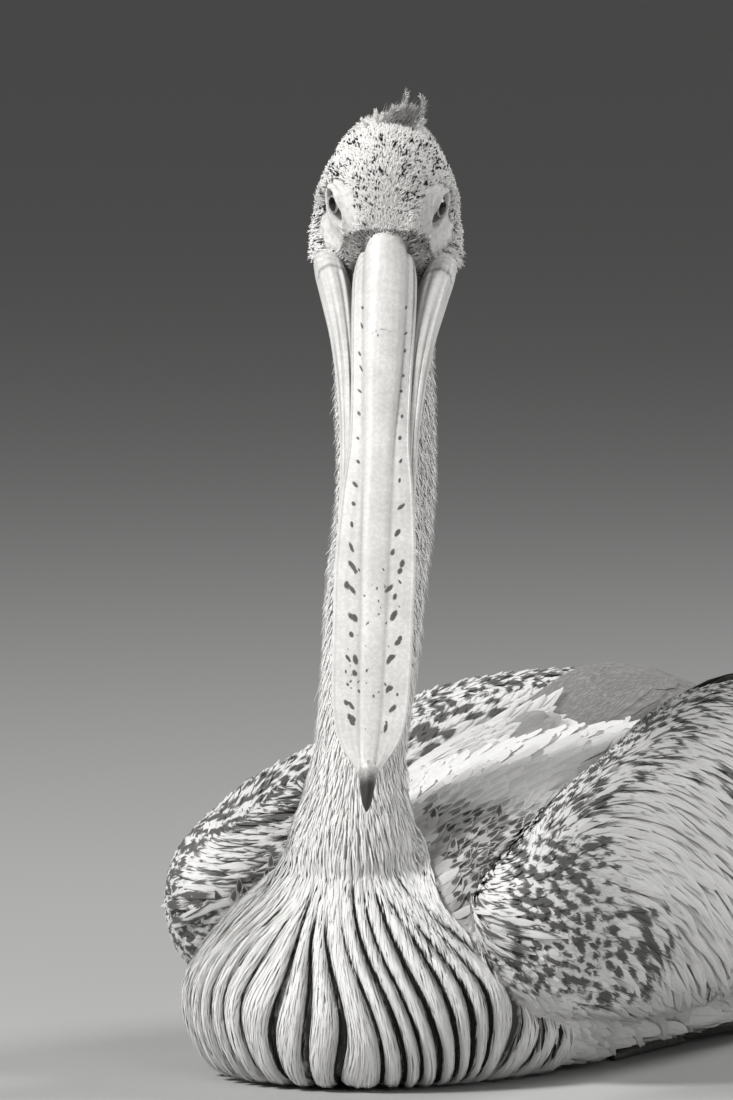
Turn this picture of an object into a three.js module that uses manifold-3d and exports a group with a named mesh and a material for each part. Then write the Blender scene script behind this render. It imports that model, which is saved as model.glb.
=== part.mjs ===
// A spot-billed pelican at rest on its belly, wings folded, at life size in millimetres.
// +Z is up, the trunk lies along Y with its tail at +Y, and +X is the bird's left.
// The origin is on the floor under the base of the neck, in the trunk's midplane.
// The head is turned to the bird's left and the bill hangs down in front of the breast.
import * as THREE from "three";
import { mergeVertices } from "three/addons/utils/BufferGeometryUtils.js";
import Module from "manifold-3d";

const wasm = await Module();
wasm.setup();

// ---- Driving sizes ----
const gap = 0.35; // clearance between touching pieces
const headTurn = 38; // degrees that the head faces to the bird's left
const billDip = 55.5; // degrees that the bill points below level
const headRoll = 2.1; // degrees that the head leans to the bird's right
const eyeCentre = { across: 18.7, ahead: 10, height: 437 }; // midway between the eyes, along the turned head
const eyeRadius = 9.3;
const eyeBall = { out: 19.9, along: -3.3, above: -2.3 }; // an eyeball's centre in the head's frame
const neckCuts = [140, 256]; // heights of the two cuts across the neck
const headCut = 392; // height of the cut below the head

const degrees = (angle) => (angle * Math.PI) / 180;
const point = (x, y, z) => new THREE.Vector3(x, y, z);

// ---- Frames ----
// "Turned" coordinates look along the turned head: across to the bird's left, ahead, and height.
const turn = new THREE.Matrix4().makeRotationZ(degrees(headTurn));
const fromTurned = (across, ahead, height) => point(across, -ahead, height).applyMatrix4(turn);

// The head's own frame has its origin midway between the eyes, -Y along the bill, +X left, +Z over the crown.
const headFrame = new THREE.Matrix4()
  .setPosition(fromTurned(eyeCentre.across, eyeCentre.ahead, eyeCentre.height))
  .multiply(turn)
  .multiply(new THREE.Matrix4().makeRotationY(degrees(headRoll)))
  .multiply(new THREE.Matrix4().makeRotationX(degrees(billDip)));
const fromHead = (side, along, above) => point(side, -along, above).applyMatrix4(headFrame);

// ---- Tables and lofts ----
// Reads a table of rows [position, value, value, ...] with a smooth curve through its rows.
function smoothTable(rows) {
  const slope = (i, k) => {
    const before = rows[Math.max(i - 1, 0)];
    const after = rows[Math.min(i + 1, rows.length - 1)];
    return (after[k] - before[k]) / (after[0] - before[0]);
  };
  return (at) => {
    const last = rows.length - 2;
    const i = Math.min(Math.max(rows.findIndex((row) => row[0] > at) - 1, 0), last);
    const row = at >= rows[last + 1][0] ? last : i;
    const span = rows[row + 1][0] - rows[row][0];
    const t = THREE.MathUtils.clamp((at - rows[row][0]) / span, 0, 1);
    return rows[row].slice(1).map((value, column) => {
      const k = column + 1;
      const rise = rows[row + 1][k] - value;
      const startSlope = slope(row, k) * span;
      const endSlope = slope(row + 1, k) * span;
      return value + t * startSlope + t * t * (3 * rise - 2 * startSlope - endSlope) +
        t * t * t * (startSlope + endSlope - 2 * rise);
    });
  };
}

// Evenly spread positions from the first to the last row of a table, closer together at both ends.
function positions(rows, count) {
  const first = rows[0][0];
  const last = rows[rows.length - 1][0];
  return Array.from({ length: count }, (_, i) => {
    const t = i / (count - 1);
    const eased = 0.55 * t + 0.45 * (1 - Math.cos(Math.PI * t)) / 2;
    return first + (last - first) * eased;
  });
}

// A point on a unit superellipse: an exponent of 2 is a circle, and more is squarer.
function superellipse(angle, exponent) {
  const power = (value) => Math.sign(value) * Math.abs(value) ** (2 / exponent);
  return [power(Math.cos(angle)), power(Math.sin(angle))];
}

// One ring of points, each placed by a function of the angle round it.
const ring = (around, place) =>
  Array.from({ length: around }, (_, i) => place((i / around) * 2 * Math.PI));

// A closed surface through rings of equal length, drawn to a point at each end.
function loft(start, rings, end) {
  const around = rings[0].length;
  const places = [start, ...rings.flat(), end];
  const index = [];
  for (let i = 0; i < around; i++) {
    const next = (i + 1) % around;
    index.push(0, 1 + next, 1 + i);
    for (let r = 0; r < rings.length - 1; r++) {
      const [a, b] = [1 + r * around, 1 + (r + 1) * around];
      index.push(a + i, a + next, b + next, a + i, b + next, b + i);
    }
    const last = 1 + (rings.length - 1) * around;
    index.push(last + i, last + next, places.length - 1);
  }
  const geometry = new THREE.BufferGeometry().setFromPoints(places);
  geometry.setIndex(index);
  return geometry;
}

// ---- Solids ----
// A closed geometry as a manifold-3d solid, with its faces pointing out whichever way it was wound.
function solidOf(geometry) {
  const bare = geometry.clone();
  for (const name of Object.keys(bare.attributes)) {
    if (name !== "position") bare.deleteAttribute(name);
  }
  const merged = mergeVertices(bare, 1e-3);
  const vertProperties = merged.attributes.position.array;
  const triVerts = new Uint32Array(merged.index.array);
  const corner = (k) => point(...vertProperties.subarray(3 * triVerts[k], 3 * triVerts[k] + 3));
  let volume = 0;
  for (let k = 0; k < triVerts.length; k += 3) {
    volume += corner(k).dot(corner(k + 1).cross(corner(k + 2)));
  }
  if (volume < 0) triVerts.reverse();
  return new wasm.Manifold(new wasm.Mesh({ numProp: 3, vertProperties, triVerts }));
}

const join = (solids) => solids.reduce((whole, solid) => whole.add(solid));
const cutAway = (solid, tools) => tools.reduce((rest, tool) => rest.subtract(tool), solid);

// Everything on one side of a plane, as a large box whose face lies in it. away points into the box.
function halfSpace(onPlane, away) {
  const size = 3000;
  const box = new THREE.BoxGeometry(size, size, size).translate(0, 0, size / 2);
  box.applyQuaternion(new THREE.Quaternion().setFromUnitVectors(point(0, 0, 1), away.clone().normalize()));
  return solidOf(box.translate(onPlane.x, onPlane.y, onPlane.z));
}

// What lies between two level cuts, with half a gap taken off at each.
function between(solid, low, high) {
  const above = halfSpace(point(0, 0, low + gap / 2), point(0, 0, 1));
  const below = halfSpace(point(0, 0, high - gap / 2), point(0, 0, -1));
  return solid.intersect(above).intersect(below);
}

function ball(centre, radius) {
  return solidOf(new THREE.SphereGeometry(radius, 10, 8).translate(centre.x, centre.y, centre.z));
}

// ---- Trunk ----
const trunkRows = [
  // y, half width, lowest, widest and highest z, squareness of the upper half
  [-72, 28, 18, 40, 60, 1.8],
  [-60, 54, 0, 41, 77, 1.7],
  [-38, 78, -14, 42, 95, 1.6],
  [0, 96, -22, 46, 116, 1.6],
  [60, 106, -26, 54, 140, 1.9],
  [140, 108, -26, 62, 156, 2.2],
  [220, 103, -24, 68, 163, 2.2],
  [300, 86, -16, 73, 159, 2.2],
  [370, 62, 4, 77, 140, 2.1],
  [430, 38, 36, 79, 117, 2],
  [468, 18, 61, 81, 101, 2],
];

function trunkLoft(grow) {
  const at = smoothTable(trunkRows);
  const rings = positions(trunkRows, 17).map((y) => {
    const [halfWidth, low, middle, high, squareness] = at(y);
    return ring(24, (angle) => {
      const upper = Math.sin(angle) > 0;
      const [across, up] = superellipse(angle, upper ? squareness : 2.1);
      const reach = (upper ? high - middle : middle - low) + grow;
      return point((halfWidth + grow) * across, y, middle + reach * up);
    });
  });
  return solidOf(loft(point(0, -77 - grow, 42), rings, point(0, 482 + grow, 82)));
}

// The breast spreads like a bell from the foot of the neck into the trunk's front.
const bellRows = [
  // height, radius, centre's x and y
  [12, 80, 0, 20],
  [38, 90, 0, 19],
  [52, 88, 0, 17],
  [66, 78, 0, 13],
  [79, 66, 0, 9],
  [93, 51, 0, 6],
  [113, 38, 1, 3],
  [136, 31, 3, 1],
  [162, 27, 4.5, 1.5],
];

function bellLoft(grow) {
  const at = smoothTable(bellRows);
  const rings = positions(bellRows, 12).map((height) => {
    const [radius, x, y] = at(height);
    return ring(24, (angle) =>
      point(x + (radius + grow) * Math.cos(angle), y + (radius + grow) * Math.sin(angle), height));
  });
  return solidOf(loft(point(0, 20, -4), rings, point(5, 2, 172)));
}

// ---- Neck ----
const neckRows = [
  // height, centre across and ahead, half width across, half depth ahead
  [108, 1, 6, 34, 34],
  [150, 3.5, 4, 27.5, 28.5],
  [193, 8.5, -6, 27.2, 28],
  [243, 12.8, -18, 27.9, 27],
  [293, 18, -27, 27.6, 26.5],
  [338, 17.5, -29, 28, 27.5],
  [376, 16.9, -26, 28, 29],
  [398, 17.5, -21, 31, 30.5],
  [416, 18, -16, 33, 30],
];

function neckLoft(grow) {
  const at = smoothTable(neckRows);
  const rings = positions(neckRows, 13).map((height) => {
    const [across, ahead, halfWidth, halfDepth] = at(height);
    return ring(18, (angle) =>
      fromTurned(
        across + (halfWidth + grow) * Math.cos(angle), ahead + (halfDepth + grow) * Math.sin(angle), height));
  });
  return solidOf(loft(fromTurned(1, 6, 100), rings, fromTurned(18, -14, 428)));
}

// ---- Head ----
const headRows = [
  // place along the head, half width, lowest, widest and highest point over the eyes' line
  [-50, 15, -23, -8, 8],
  [-42, 24.5, -34, -13, 17],
  [-28, 33.5, -46, -21, 25],
  [-12, 39, -51, -28, 27],
  [-1, 40, -49, -30, 24.5],
  [9, 39, -46, -27, 19.5],
  [15, 35.5, -42, -26, 16],
  [20, 26, -36, -22, 13.5],
  [26, 16.5, -28, -15, 10],
];

function headLoft(grow) {
  const at = smoothTable(headRows);
  const rings = positions(headRows, 11).map((along) => {
    const [halfWidth, low, middle, high] = at(along);
    return ring(18, (angle) => {
      const up = Math.sin(angle);
      const reach = (up > 0 ? high - middle : middle - low) + grow;
      return fromHead((halfWidth + grow) * Math.cos(angle), along, middle + reach * up);
    });
  });
  return solidOf(loft(fromHead(0, -55 - grow, -6), rings, fromHead(0, 30, -10)));
}

// The brow narrows in front of the eyes, so that they look forwards as well as out.
const orbit = { along: 6, out: 40, above: 0, half: [15, 20, 13] };

function orbitHollow(side) {
  const { along, out, above, half } = orbit;
  const sphere = new THREE.SphereGeometry(1, 10, 7).scale(half[0], half[1], half[2]);
  sphere.rotateZ(side * degrees(-24)).translate(side * out, -along, above).applyMatrix4(headFrame);
  return solidOf(sphere);
}

const eyePlace = (side) => fromHead(side * eyeBall.out, eyeBall.along, eyeBall.above);

// ---- Crest: curled plumes at the back of the crown and down the nape ----
const crestPlumes = [
  // root, bend and tip in the head's frame as side, along and above, and thickness at the bend
  { root: [-1, -42, 16], bend: [-5, -52, 22], tip: [-4, -59, 14], thick: 3 },
  { root: [2, -42, 16], bend: [3, -56, 23], tip: [8, -60, 14], thick: 3.4 },
  { root: [4, -42, 15], bend: [13, -53, 20], tip: [18, -58, 13], thick: 3.2 },
  { root: [1, -46, 10], bend: [0, -62, 13], tip: [3, -69, 2], thick: 3.4 },
  { root: [0, -49, 0], bend: [-4, -62, 3], tip: [-3, -66, -9], thick: 3.2 },
];
const crestRoots = { along: -44, above: 7, half: [7, 7, 17] };

function crestPlume({ root, bend, tip, thick }) {
  const steps = 4;
  const [a, b, c] = [root, bend, tip].map((place) => fromHead(...place));
  const curve = new THREE.QuadraticBezierCurve3(a, b, c);
  const rings = Array.from({ length: steps }, (_, i) => {
    const t = (i + 0.3) / steps;
    const along = curve.getTangent(t);
    const sideways = point(0, 0, 1).cross(along).normalize();
    const upright = along.clone().cross(sideways);
    const radius = thick * Math.sqrt(Math.min(1, 1.5 * t + 0.3)) * Math.sqrt(1.05 - t);
    return ring(5, (angle) => curve.getPoint(t)
      .addScaledVector(sideways, radius * Math.cos(angle))
      .addScaledVector(upright, radius * Math.sin(angle)));
  });
  return solidOf(loft(a, rings, c));
}

function crestLoft() {
  const { along, above, half } = crestRoots;
  const lump = new THREE.SphereGeometry(1, 8, 6)
    .scale(...half).rotateX(degrees(-12)).translate(0, -along, above);
  return join([solidOf(lump.applyMatrix4(headFrame)), ...crestPlumes.map(crestPlume)]);
}

// ---- Bill ----
const upperBillRows = [
  // place along the bill, half width, culmen's height, edge's height, underside's height, ridge's half width
  [16, 15, 9, -9, -13, 8],
  [26, 15.8, 9.5, -9, -13, 8.5],
  [53, 16.1, 7, -8.5, -11.5, 8.5],
  [100, 15, 3.5, -6.5, -9, 7.5],
  [135, 15, 1.5, -5.5, -7.5, 6.5],
  [165, 17.8, 0, -5, -6.8, 6],
  [200, 19.7, -1.5, -5, -6.5, 5.5],
  [236, 19.6, -2.5, -5, -6.5, 5],
  [275, 18.8, -3.2, -5, -6.6, 4.5],
  [290, 17.5, -3.4, -5, -6.8, 4.2],
  [301, 15.2, -3.6, -5.2, -7, 3.8],
  [309, 11, -4, -6, -8, 3.4],
  [315, 7, -4.8, -7.4, -9.4, 3],
];
const ridgeRise = 0.34; // share of the bill's height that the culmen's ridge stands above its flanks

function upperBillRing(along, [half, top, edge, under, ridge], grow) {
  // Right edge, flank, ridge and the same again on the left, then the palate below.
  const shoulder = top - (top - edge) * ridgeRise;
  const outline = [
    [half, edge], [0.93 * half, edge + 0.55 * (shoulder - edge)], [0.74 * half, shoulder - 0.4],
    [ridge + 1, shoulder], [ridge, shoulder + 0.3 * (top - shoulder)],
    [0.7 * ridge, top - 0.12 * (top - shoulder)], [0, top],
  ];
  const left = outline.slice(0, -1).reverse().map(([x, z]) => [-x, z]);
  const palate = [
    [-0.86 * half, under + 0.4], [-0.4 * half, under + 1],
    [0.4 * half, under + 1], [0.86 * half, under + 0.4],
  ];
  return [...outline, ...left, ...palate].map(([x, z]) => {
    const middle = (top + under) / 2;
    return fromHead(x + Math.sign(x) * grow, along, z + Math.sign(z - middle) * grow);
  });
}

function upperBill(grow) {
  const at = smoothTable(upperBillRows);
  const rings = positions(upperBillRows, 13).map((along) => upperBillRing(along, at(along), grow));
  return solidOf(loft(fromHead(0, 12 - grow, -2), rings, fromHead(0, 320 + grow, -8)));
}

// The nail is a hook that caps the bill's tip and curls down over the mandible.
const nailRows = [
  // place along the bill, half width, lowest and highest point
  [303, 3, -7, -4],
  [310, 5, -9.6, -3.4],
  [316, 5.2, -11.8, -4],
  [322, 4.2, -14, -5.6],
  [328, 3, -17, -8.6],
];

function nailLoft(grow) {
  const at = smoothTable(nailRows);
  const rings = positions(nailRows, 7).map((along) => {
    const [half, low, high] = at(along);
    const middle = (low + high) / 2;
    return ring(10, (angle) => fromHead(
      (half + grow) * Math.cos(angle), along, middle + ((high - low) / 2 + grow) * Math.sin(angle)));
  });
  return solidOf(loft(fromHead(0, 299 - grow, -5.4), rings, fromHead(0, 333 + grow, -18)));
}

const mandibleRows = [
  // place along the bill, centre's spread and height, half width, half height
  [14, 29.4, -26, 7, 8.6],
  [24, 27.4, -24, 7.8, 10],
  [42, 23.6, -21, 7.6, 9.8],
  [70, 19.6, -17.2, 5.9, 8.6],
  [100, 16.8, -14.6, 4.6, 7],
  [140, 15, -12.6, 3.6, 5.4],
  [190, 15.4, -11, 3.2, 4.2],
  [240, 15.2, -10.4, 3, 3.6],
  [280, 11.4, -10.2, 2.8, 3.2],
  [302, 5.4, -10.2, 2.8, 3],
];

function mandibleLoft(side, grow) {
  const at = smoothTable(mandibleRows);
  const rings = positions(mandibleRows, 14).map((along) => {
    const [spread, height, halfWidth, halfHeight] = at(along);
    return ring(10, (angle) => {
      const [across, up] = superellipse(angle, 2.4);
      const sideways = spread + (halfWidth + grow) * across;
      return fromHead(side * sideways, along, height + (halfHeight + grow) * up);
    });
  });
  return solidOf(loft(fromHead(side * 30.5, 9 - grow, -27), rings, fromHead(side * 1, 312 + grow, -10.5)));
}

// ---- Pouch: a web of skin from the mandible to the front of the neck ----
const pouchRows = [
  // place along the bill, half width at the mandible, top's height, lowest point, half width at the bottom
  [6, 24, -24, -44, 12],
  [24, 27, -22, -50, 13],
  [55, 23, -18, -63, 12],
  [84, 18, -15, -72, 9],
  [104, 15.5, -13, -64, 6.5],
  [134, 13.5, -11.5, -45, 5],
  [180, 13, -10.5, -28, 4.5],
  [230, 13, -10, -19.5, 4.5],
  [275, 9.5, -10, -15, 3.6],
  [296, 5, -10.2, -13.2, 2.4],
];

function pouchLoft() {
  const at = smoothTable(pouchRows);
  const rings = positions(pouchRows, 14).map((along) => {
    const [topHalf, top, low, lowHalf] = at(along);
    return ring(12, (angle) => {
      const down = (1 - Math.sin(angle)) / 2;
      const half = lowHalf + (topHalf - lowHalf) * (1 - down) ** 1.3;
      return fromHead(half * Math.cos(angle) * (1 + 0.25 * down), along, top + (low - top) * down);
    });
  });
  return solidOf(loft(fromHead(0, 0, -34), rings, fromHead(0, 304, -11.5)));
}

// ---- Wings ----
const wingRows = [
  // y, centre's x and z, half width, half height, lean of the section in degrees
  [-2, 95, 85, 17, 20, 4],
  [7, 98, 82, 29, 33, 5],
  [22, 101, 81, 37, 44, 6],
  [60, 99, 88, 41, 58, 8],
  [120, 93, 96, 43, 70, 9],
  [180, 83, 107, 45, 78, 11],
  [240, 71, 113, 47, 77, 14],
  [300, 60, 117, 45, 69, 17],
  [352, 50, 116, 41, 54, 20],
  [400, 42, 112, 35, 39, 23],
  [440, 35, 109, 27, 27, 26],
];
const wingFront = point(92, -8, 86);
const wingBack = point(30, 470, 107);

function wingLoft(side, grow) {
  const at = smoothTable(wingRows);
  const rings = positions(wingRows, 14).map((y) => {
    const [x, z, halfWidth, halfHeight, lean] = at(y);
    return ring(18, (angle) => {
      const [across, up] = superellipse(angle, 2.15);
      const [u, v] = [(halfWidth + grow) * across, (halfHeight + grow) * up];
      const tilt = degrees(lean);
      const sideways = x + u * Math.cos(tilt) - v * Math.sin(tilt);
      return point(side * sideways, y, z + u * Math.sin(tilt) + v * Math.cos(tilt));
    });
  });
  const [front, back] = [wingFront, wingBack].map((end) => point(side * end.x, end.y, end.z));
  return solidOf(loft(front, rings, back));
}

// ---- Quills: flat blades with a round tip, used for the wing tips and the tail ----
// A blade lies along +Y from its root, cupped downwards, with its flat faces up and down.
function blade({ length, width, thickness, cup }) {
  const steps = 5;
  const tipAt = (t) => Math.sqrt(Math.max(0, 1 - Math.max(0, (t - 0.86) / 0.15) ** 2));
  const widthAt = (t) => width * (0.42 + 0.58 * Math.min(1, t * 3.2)) * tipAt(t);
  const rings = Array.from({ length: steps }, (_, i) => {
    const t = 0.98 * (i / (steps - 1)) ** 0.8;
    const half = widthAt(t) / 2;
    const thick = (thickness / 2) * (1 - 0.45 * t);
    const drop = (x) => -cup * (x / (width / 2)) ** 2;
    return [-1, -0.5, 0.5, 1, 0.5, -0.5].map((share, k) => {
      const face = k === 0 || k === 3 ? 0 : k < 3 ? 1 : -1;
      return point(share * half, t * length, drop(share * half) + face * thick);
    });
  });
  return loft(point(0, -3, 0), rings, point(0, length, 0));
}

const wingQuills = { count: 4, length: 228, width: 36, thickness: 4.2, cup: 5 };

function wingTip(side) {
  const blades = Array.from({ length: wingQuills.count }, (_, i) => {
    const t = i / (wingQuills.count - 1);
    const quill = blade({ ...wingQuills, length: wingQuills.length - 92 * t });
    quill.rotateY(degrees(34 + 30 * t)).rotateX(degrees(-5.5 + 1.5 * t)).rotateZ(degrees(7.5 - 5 * t));
    quill.translate(34 + 17 * t, 352, 126 - 34 * t);
    return solidOf(side > 0 ? quill : quill.scale(-1, 1, 1));
  });
  return join(blades);
}

const tailQuills = { count: 6, length: 176, width: 42, thickness: 4, cup: 2.5, fan: 19 };

function tailFan() {
  const blades = Array.from({ length: tailQuills.count }, (_, i) => {
    const t = (2 * i) / (tailQuills.count - 1) - 1;
    const quill = blade({ ...tailQuills, length: tailQuills.length - 22 * t * t });
    quill.rotateY(degrees(12 * t)).rotateX(degrees(-4)).rotateZ(degrees(-tailQuills.fan * t));
    quill.translate(20 * t, 432, 84 - 5 * Math.abs(t));
    return solidOf(quill);
  });
  return join(blades);
}

// ---- Legs and feet, folded under the flanks ----
const foot = { heel: [44, 292], ankle: [46, 214], toeLength: 88, outward: 2 };
const toes = [
  // spread in degrees and share of the longest toe, from the inner toe out
  { spread: -52, share: 0.42 },
  { spread: -19, share: 0.8 },
  { spread: -3, share: 1 },
  { spread: 12, share: 0.94 },
];

// A round bar between two points, tapered, resting on the floor where its radius meets it.
function bar(from, to, startRadius, endRadius) {
  const steps = 3;
  const along = to.clone().sub(from);
  const sideways = point(0, 0, 1).cross(along).normalize();
  const upright = along.clone().cross(sideways).normalize();
  const rings = Array.from({ length: steps }, (_, i) => {
    const t = i / (steps - 1);
    const radius = (startRadius + (endRadius - startRadius) * t) * (1 + 0.12 * Math.sin(3 * Math.PI * t));
    return ring(5, (angle) => from.clone().addScaledVector(along, t)
      .addScaledVector(sideways, radius * Math.cos(angle))
      .addScaledVector(upright, radius * Math.sin(angle)));
  });
  const overshoot = along.clone().normalize();
  return solidOf(loft(from.clone().addScaledVector(overshoot, -0.6 * startRadius), rings,
    to.clone().addScaledVector(overshoot, 0.8 * endRadius)));
}

function toeTip(side, { spread, share }) {
  const [x, y] = foot.ankle;
  const angle = degrees(spread + foot.outward);
  const reach = foot.toeLength * share;
  return point(side * (x + Math.sin(angle) * reach), y - Math.cos(angle) * reach, 2.6);
}

// Three webbed toes that point forwards.
function footSolid(side) {
  const root = point(side * foot.ankle[0], foot.ankle[1], 5);
  const bars = toes.map((toe) => bar(root, toeTip(side, toe), 5, 2.6));
  const outline = new THREE.Shape();
  outline.moveTo(root.x - side * 4, root.y + 4);
  for (const toe of toes) {
    const tip = toeTip(side, toe);
    outline.lineTo(tip.x, tip.y + 4);
  }
  outline.lineTo(root.x + side * 4, root.y + 4);
  const sheet = new THREE.ExtrudeGeometry(outline, { depth: 2, bevelEnabled: false });
  const web = solidOf(sheet.translate(0, 0, 0.4));
  return join([...bars, web]);
}

function shankSolid(side, grow) {
  const [hx, hy] = foot.heel;
  const [ax, ay] = foot.ankle;
  return bar(point(side * hx, hy, 7.3), point(side * ax, ay + 7, 6.2), 6.6 + grow, 5.4 + grow);
}

// ---- Materials ----
const material = (color, roughness) => new THREE.MeshStandardMaterial({ color, roughness, metalness: 0 });
const plumage = material(0xd9d7d2, 0.85);
const wingPlumage = material(0xc9c6c0, 0.8);
const quillHorn = material(0x5a5652, 0.7);
const billHorn = material(0xdedad2, 0.45);
const nailHorn = material(0x4c4845, 0.4);
const pouchSkin = material(0x8f8a86, 0.6);
const eyeGloss = material(0x151413, 0.1);
const footSkin = material(0x4e4a48, 0.6);

// ---- Assembly ----
const floor = halfSpace(point(0, 0, 0), point(0, 0, 1));
const neckAndBell = join([bellLoft(0), neckLoft(0)]);
const [lowCut, middleCut] = neckCuts;
const trunkFlesh = trunkLoft(0).add(between(neckAndBell, -20, lowCut)).intersect(floor);

const upperBillSolid = cutAway(upperBill(0), [nailLoft(gap)]);
const mandibleAt = (side) => {
  const midplane = halfSpace(fromHead(side * (gap / 2), 0, 0), fromHead(side, 0, 0).sub(fromHead(0, 0, 0)));
  return cutAway(mandibleLoft(side, 0), [upperBill(gap), nailLoft(gap)]).intersect(midplane);
};
const billWithRoom = [upperBill(gap), mandibleLoft(1, gap), mandibleLoft(-1, gap)];
const headSolid = cutAway(join([headLoft(0), neckLoft(0)]), [
  orbitHollow(1), orbitHollow(-1),
  ball(eyePlace(1), eyeRadius + gap), ball(eyePlace(-1), eyeRadius + gap), ...billWithRoom,
]);
const headAlone = headSolid.intersect(halfSpace(point(0, 0, headCut + gap / 2), point(0, 0, 1)));
const neckForHead = cutAway(neckLoft(0), billWithRoom);
const pouchSolid = cutAway(pouchLoft(), [...billWithRoom, neckLoft(gap), headLoft(gap)]);

// The hollow under the belly that each folded leg and foot lies in, open to the floor.
const legRoom = [1, -1].map((side) => {
  const outline = new THREE.Shape();
  const corners = [
    [-12, 98], [-12, 6], [-38, -30], [-38, -50], [-20, -92], [4, -98], [28, -92], [12, 0], [10, 98],
  ];
  corners.forEach(([across, back], i) => {
    const [x, y] = [side * (foot.ankle[0] + across), foot.ankle[1] + back];
    if (i) outline.lineTo(x, y); else outline.moveTo(x, y);
  });
  return solidOf(new THREE.ExtrudeGeometry(outline, { depth: 17, bevelEnabled: false }).translate(0, 0, -1));
});

const largest = (solid) => solid.decompose()
  .reduce((best, piece) => (piece.volume() > best.volume() ? piece : best));
const bodyRoom = [trunkLoft(gap), bellLoft(gap), neckLoft(gap)];
const leftSide = halfSpace(point(gap / 2, 0, 0), point(1, 0, 0));
const rightSide = halfSpace(point(-gap / 2, 0, 0), point(-1, 0, 0));
const wingAt = (side) => largest(
  cutAway(wingLoft(side, 0), bodyRoom).intersect(side > 0 ? leftSide : rightSide));
const wingTipAt = (side) => largest(
  cutAway(wingTip(side), [wingLoft(side, gap), ...bodyRoom]).intersect(side > 0 ? leftSide : rightSide));
const wingRoom = [wingLoft(1, gap), wingLoft(-1, gap)];

const pieces = [
  ["trunk", cutAway(trunkFlesh, legRoom), plumage],
  ["neck_lower", cutAway(between(neckAndBell, lowCut, middleCut), [trunkLoft(gap)]), plumage],
  ["neck_upper", between(neckForHead, middleCut, headCut), plumage],
  ["head", headAlone, plumage],
  ["crest", largest(cutAway(crestLoft(), [headLoft(gap)])), quillHorn],
  ["eye_left", ball(eyePlace(1), eyeRadius), eyeGloss],
  ["eye_right", ball(eyePlace(-1), eyeRadius), eyeGloss],
  ["bill_upper", upperBillSolid, billHorn],
  ["bill_nail", nailLoft(0), nailHorn],
  ["mandible_left", mandibleAt(1), billHorn],
  ["mandible_right", mandibleAt(-1), billHorn],
  ["pouch", largest(pouchSolid), pouchSkin],
  ["wing_left", wingAt(1), wingPlumage],
  ["wing_right", wingAt(-1), wingPlumage],
  ["wing_tip_left", wingTipAt(1), quillHorn],
  ["wing_tip_right", wingTipAt(-1), quillHorn],
  ["tail", largest(cutAway(tailFan(), [...bodyRoom, ...wingRoom, wingTip(1), wingTip(-1)])), quillHorn],
  ["leg_left", shankSolid(1, 0), footSkin],
  ["leg_right", shankSolid(-1, 0), footSkin],
  ["foot_left", cutAway(footSolid(1), [shankSolid(1, gap)]).intersect(floor), footSkin],
  ["foot_right", cutAway(footSolid(-1), [shankSolid(-1, gap)]).intersect(floor), footSkin],
];

function meshOf([name, solid, finish]) {
  const { numProp, numVert, vertProperties, triVerts } = solid.getMesh();
  const positionsOnly = new Float32Array(numVert * 3);
  for (let i = 0; i < numVert; i++) {
    positionsOnly.set(vertProperties.subarray(i * numProp, i * numProp + 3), i * 3);
  }
  const geometry = new THREE.BufferGeometry();
  geometry.setAttribute("position", new THREE.BufferAttribute(positionsOnly, 3));
  geometry.setIndex(new THREE.BufferAttribute(triVerts, 1));
  const mesh = new THREE.Mesh(geometry, finish);
  mesh.name = name;
  return mesh;
}

const pelican = new THREE.Group();
pelican.add(...pieces.map(meshOf));
export default pelican;
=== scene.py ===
import math
import bmesh
import bpy
import numpy as np
from mathutils import Matrix, Vector
from mathutils.bvhtree import BVHTree


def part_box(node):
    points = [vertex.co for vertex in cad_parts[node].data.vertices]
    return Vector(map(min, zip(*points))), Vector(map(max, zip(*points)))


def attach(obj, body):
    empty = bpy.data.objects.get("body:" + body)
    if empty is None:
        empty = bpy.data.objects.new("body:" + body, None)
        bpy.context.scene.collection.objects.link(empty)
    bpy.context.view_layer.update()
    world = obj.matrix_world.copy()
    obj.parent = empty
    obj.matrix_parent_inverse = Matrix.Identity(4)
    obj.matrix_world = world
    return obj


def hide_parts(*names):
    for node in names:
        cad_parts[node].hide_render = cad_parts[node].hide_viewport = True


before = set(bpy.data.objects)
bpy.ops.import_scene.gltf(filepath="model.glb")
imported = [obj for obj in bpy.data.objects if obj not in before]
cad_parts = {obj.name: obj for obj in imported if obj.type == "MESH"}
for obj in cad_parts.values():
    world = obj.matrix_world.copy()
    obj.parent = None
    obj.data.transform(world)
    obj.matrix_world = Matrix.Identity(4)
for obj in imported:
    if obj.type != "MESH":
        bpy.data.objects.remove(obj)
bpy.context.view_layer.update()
mm = .001
rng = np.random.default_rng(11)


def smoothTable(rows):  # a smooth curve through rows of [position, value, value, ...]
    table = np.array(rows, float)
    x, y = table[:, 0], table[:, 1:]
    before, after = np.maximum(np.arange(len(x)) - 1, 0), np.minimum(np.arange(len(x)) + 1, len(x) - 1)
    slope = (y[after] - y[before]) / (x[after] - x[before])[:, None]

    def at(position):
        p = np.clip(np.atleast_1d(position), x[0], x[-1])
        i = np.clip(np.searchsorted(x, p, side="right") - 1, 0, len(x) - 2)
        span = (x[i + 1] - x[i])[:, None]
        t = (p[:, None] - x[i][:, None]) / span
        rise, start, end = y[i + 1] - y[i], slope[i] * span, slope[i + 1] * span
        return (y[i] + t * start + t**2 * (3 * rise - 2 * start - end) + t**3 * (start + end - 2 * rise)).T
    return at


def unit(v):
    return v / (np.linalg.norm(v, axis=-1, keepdims=True) + 1e-12)


def ease(x, low, high):  # smooth step from 0 at low to 1 at high; low may be above high
    t = np.clip((x - low) / (high - low), 0, 1)
    return t * t * (3 - 2 * t)


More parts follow.
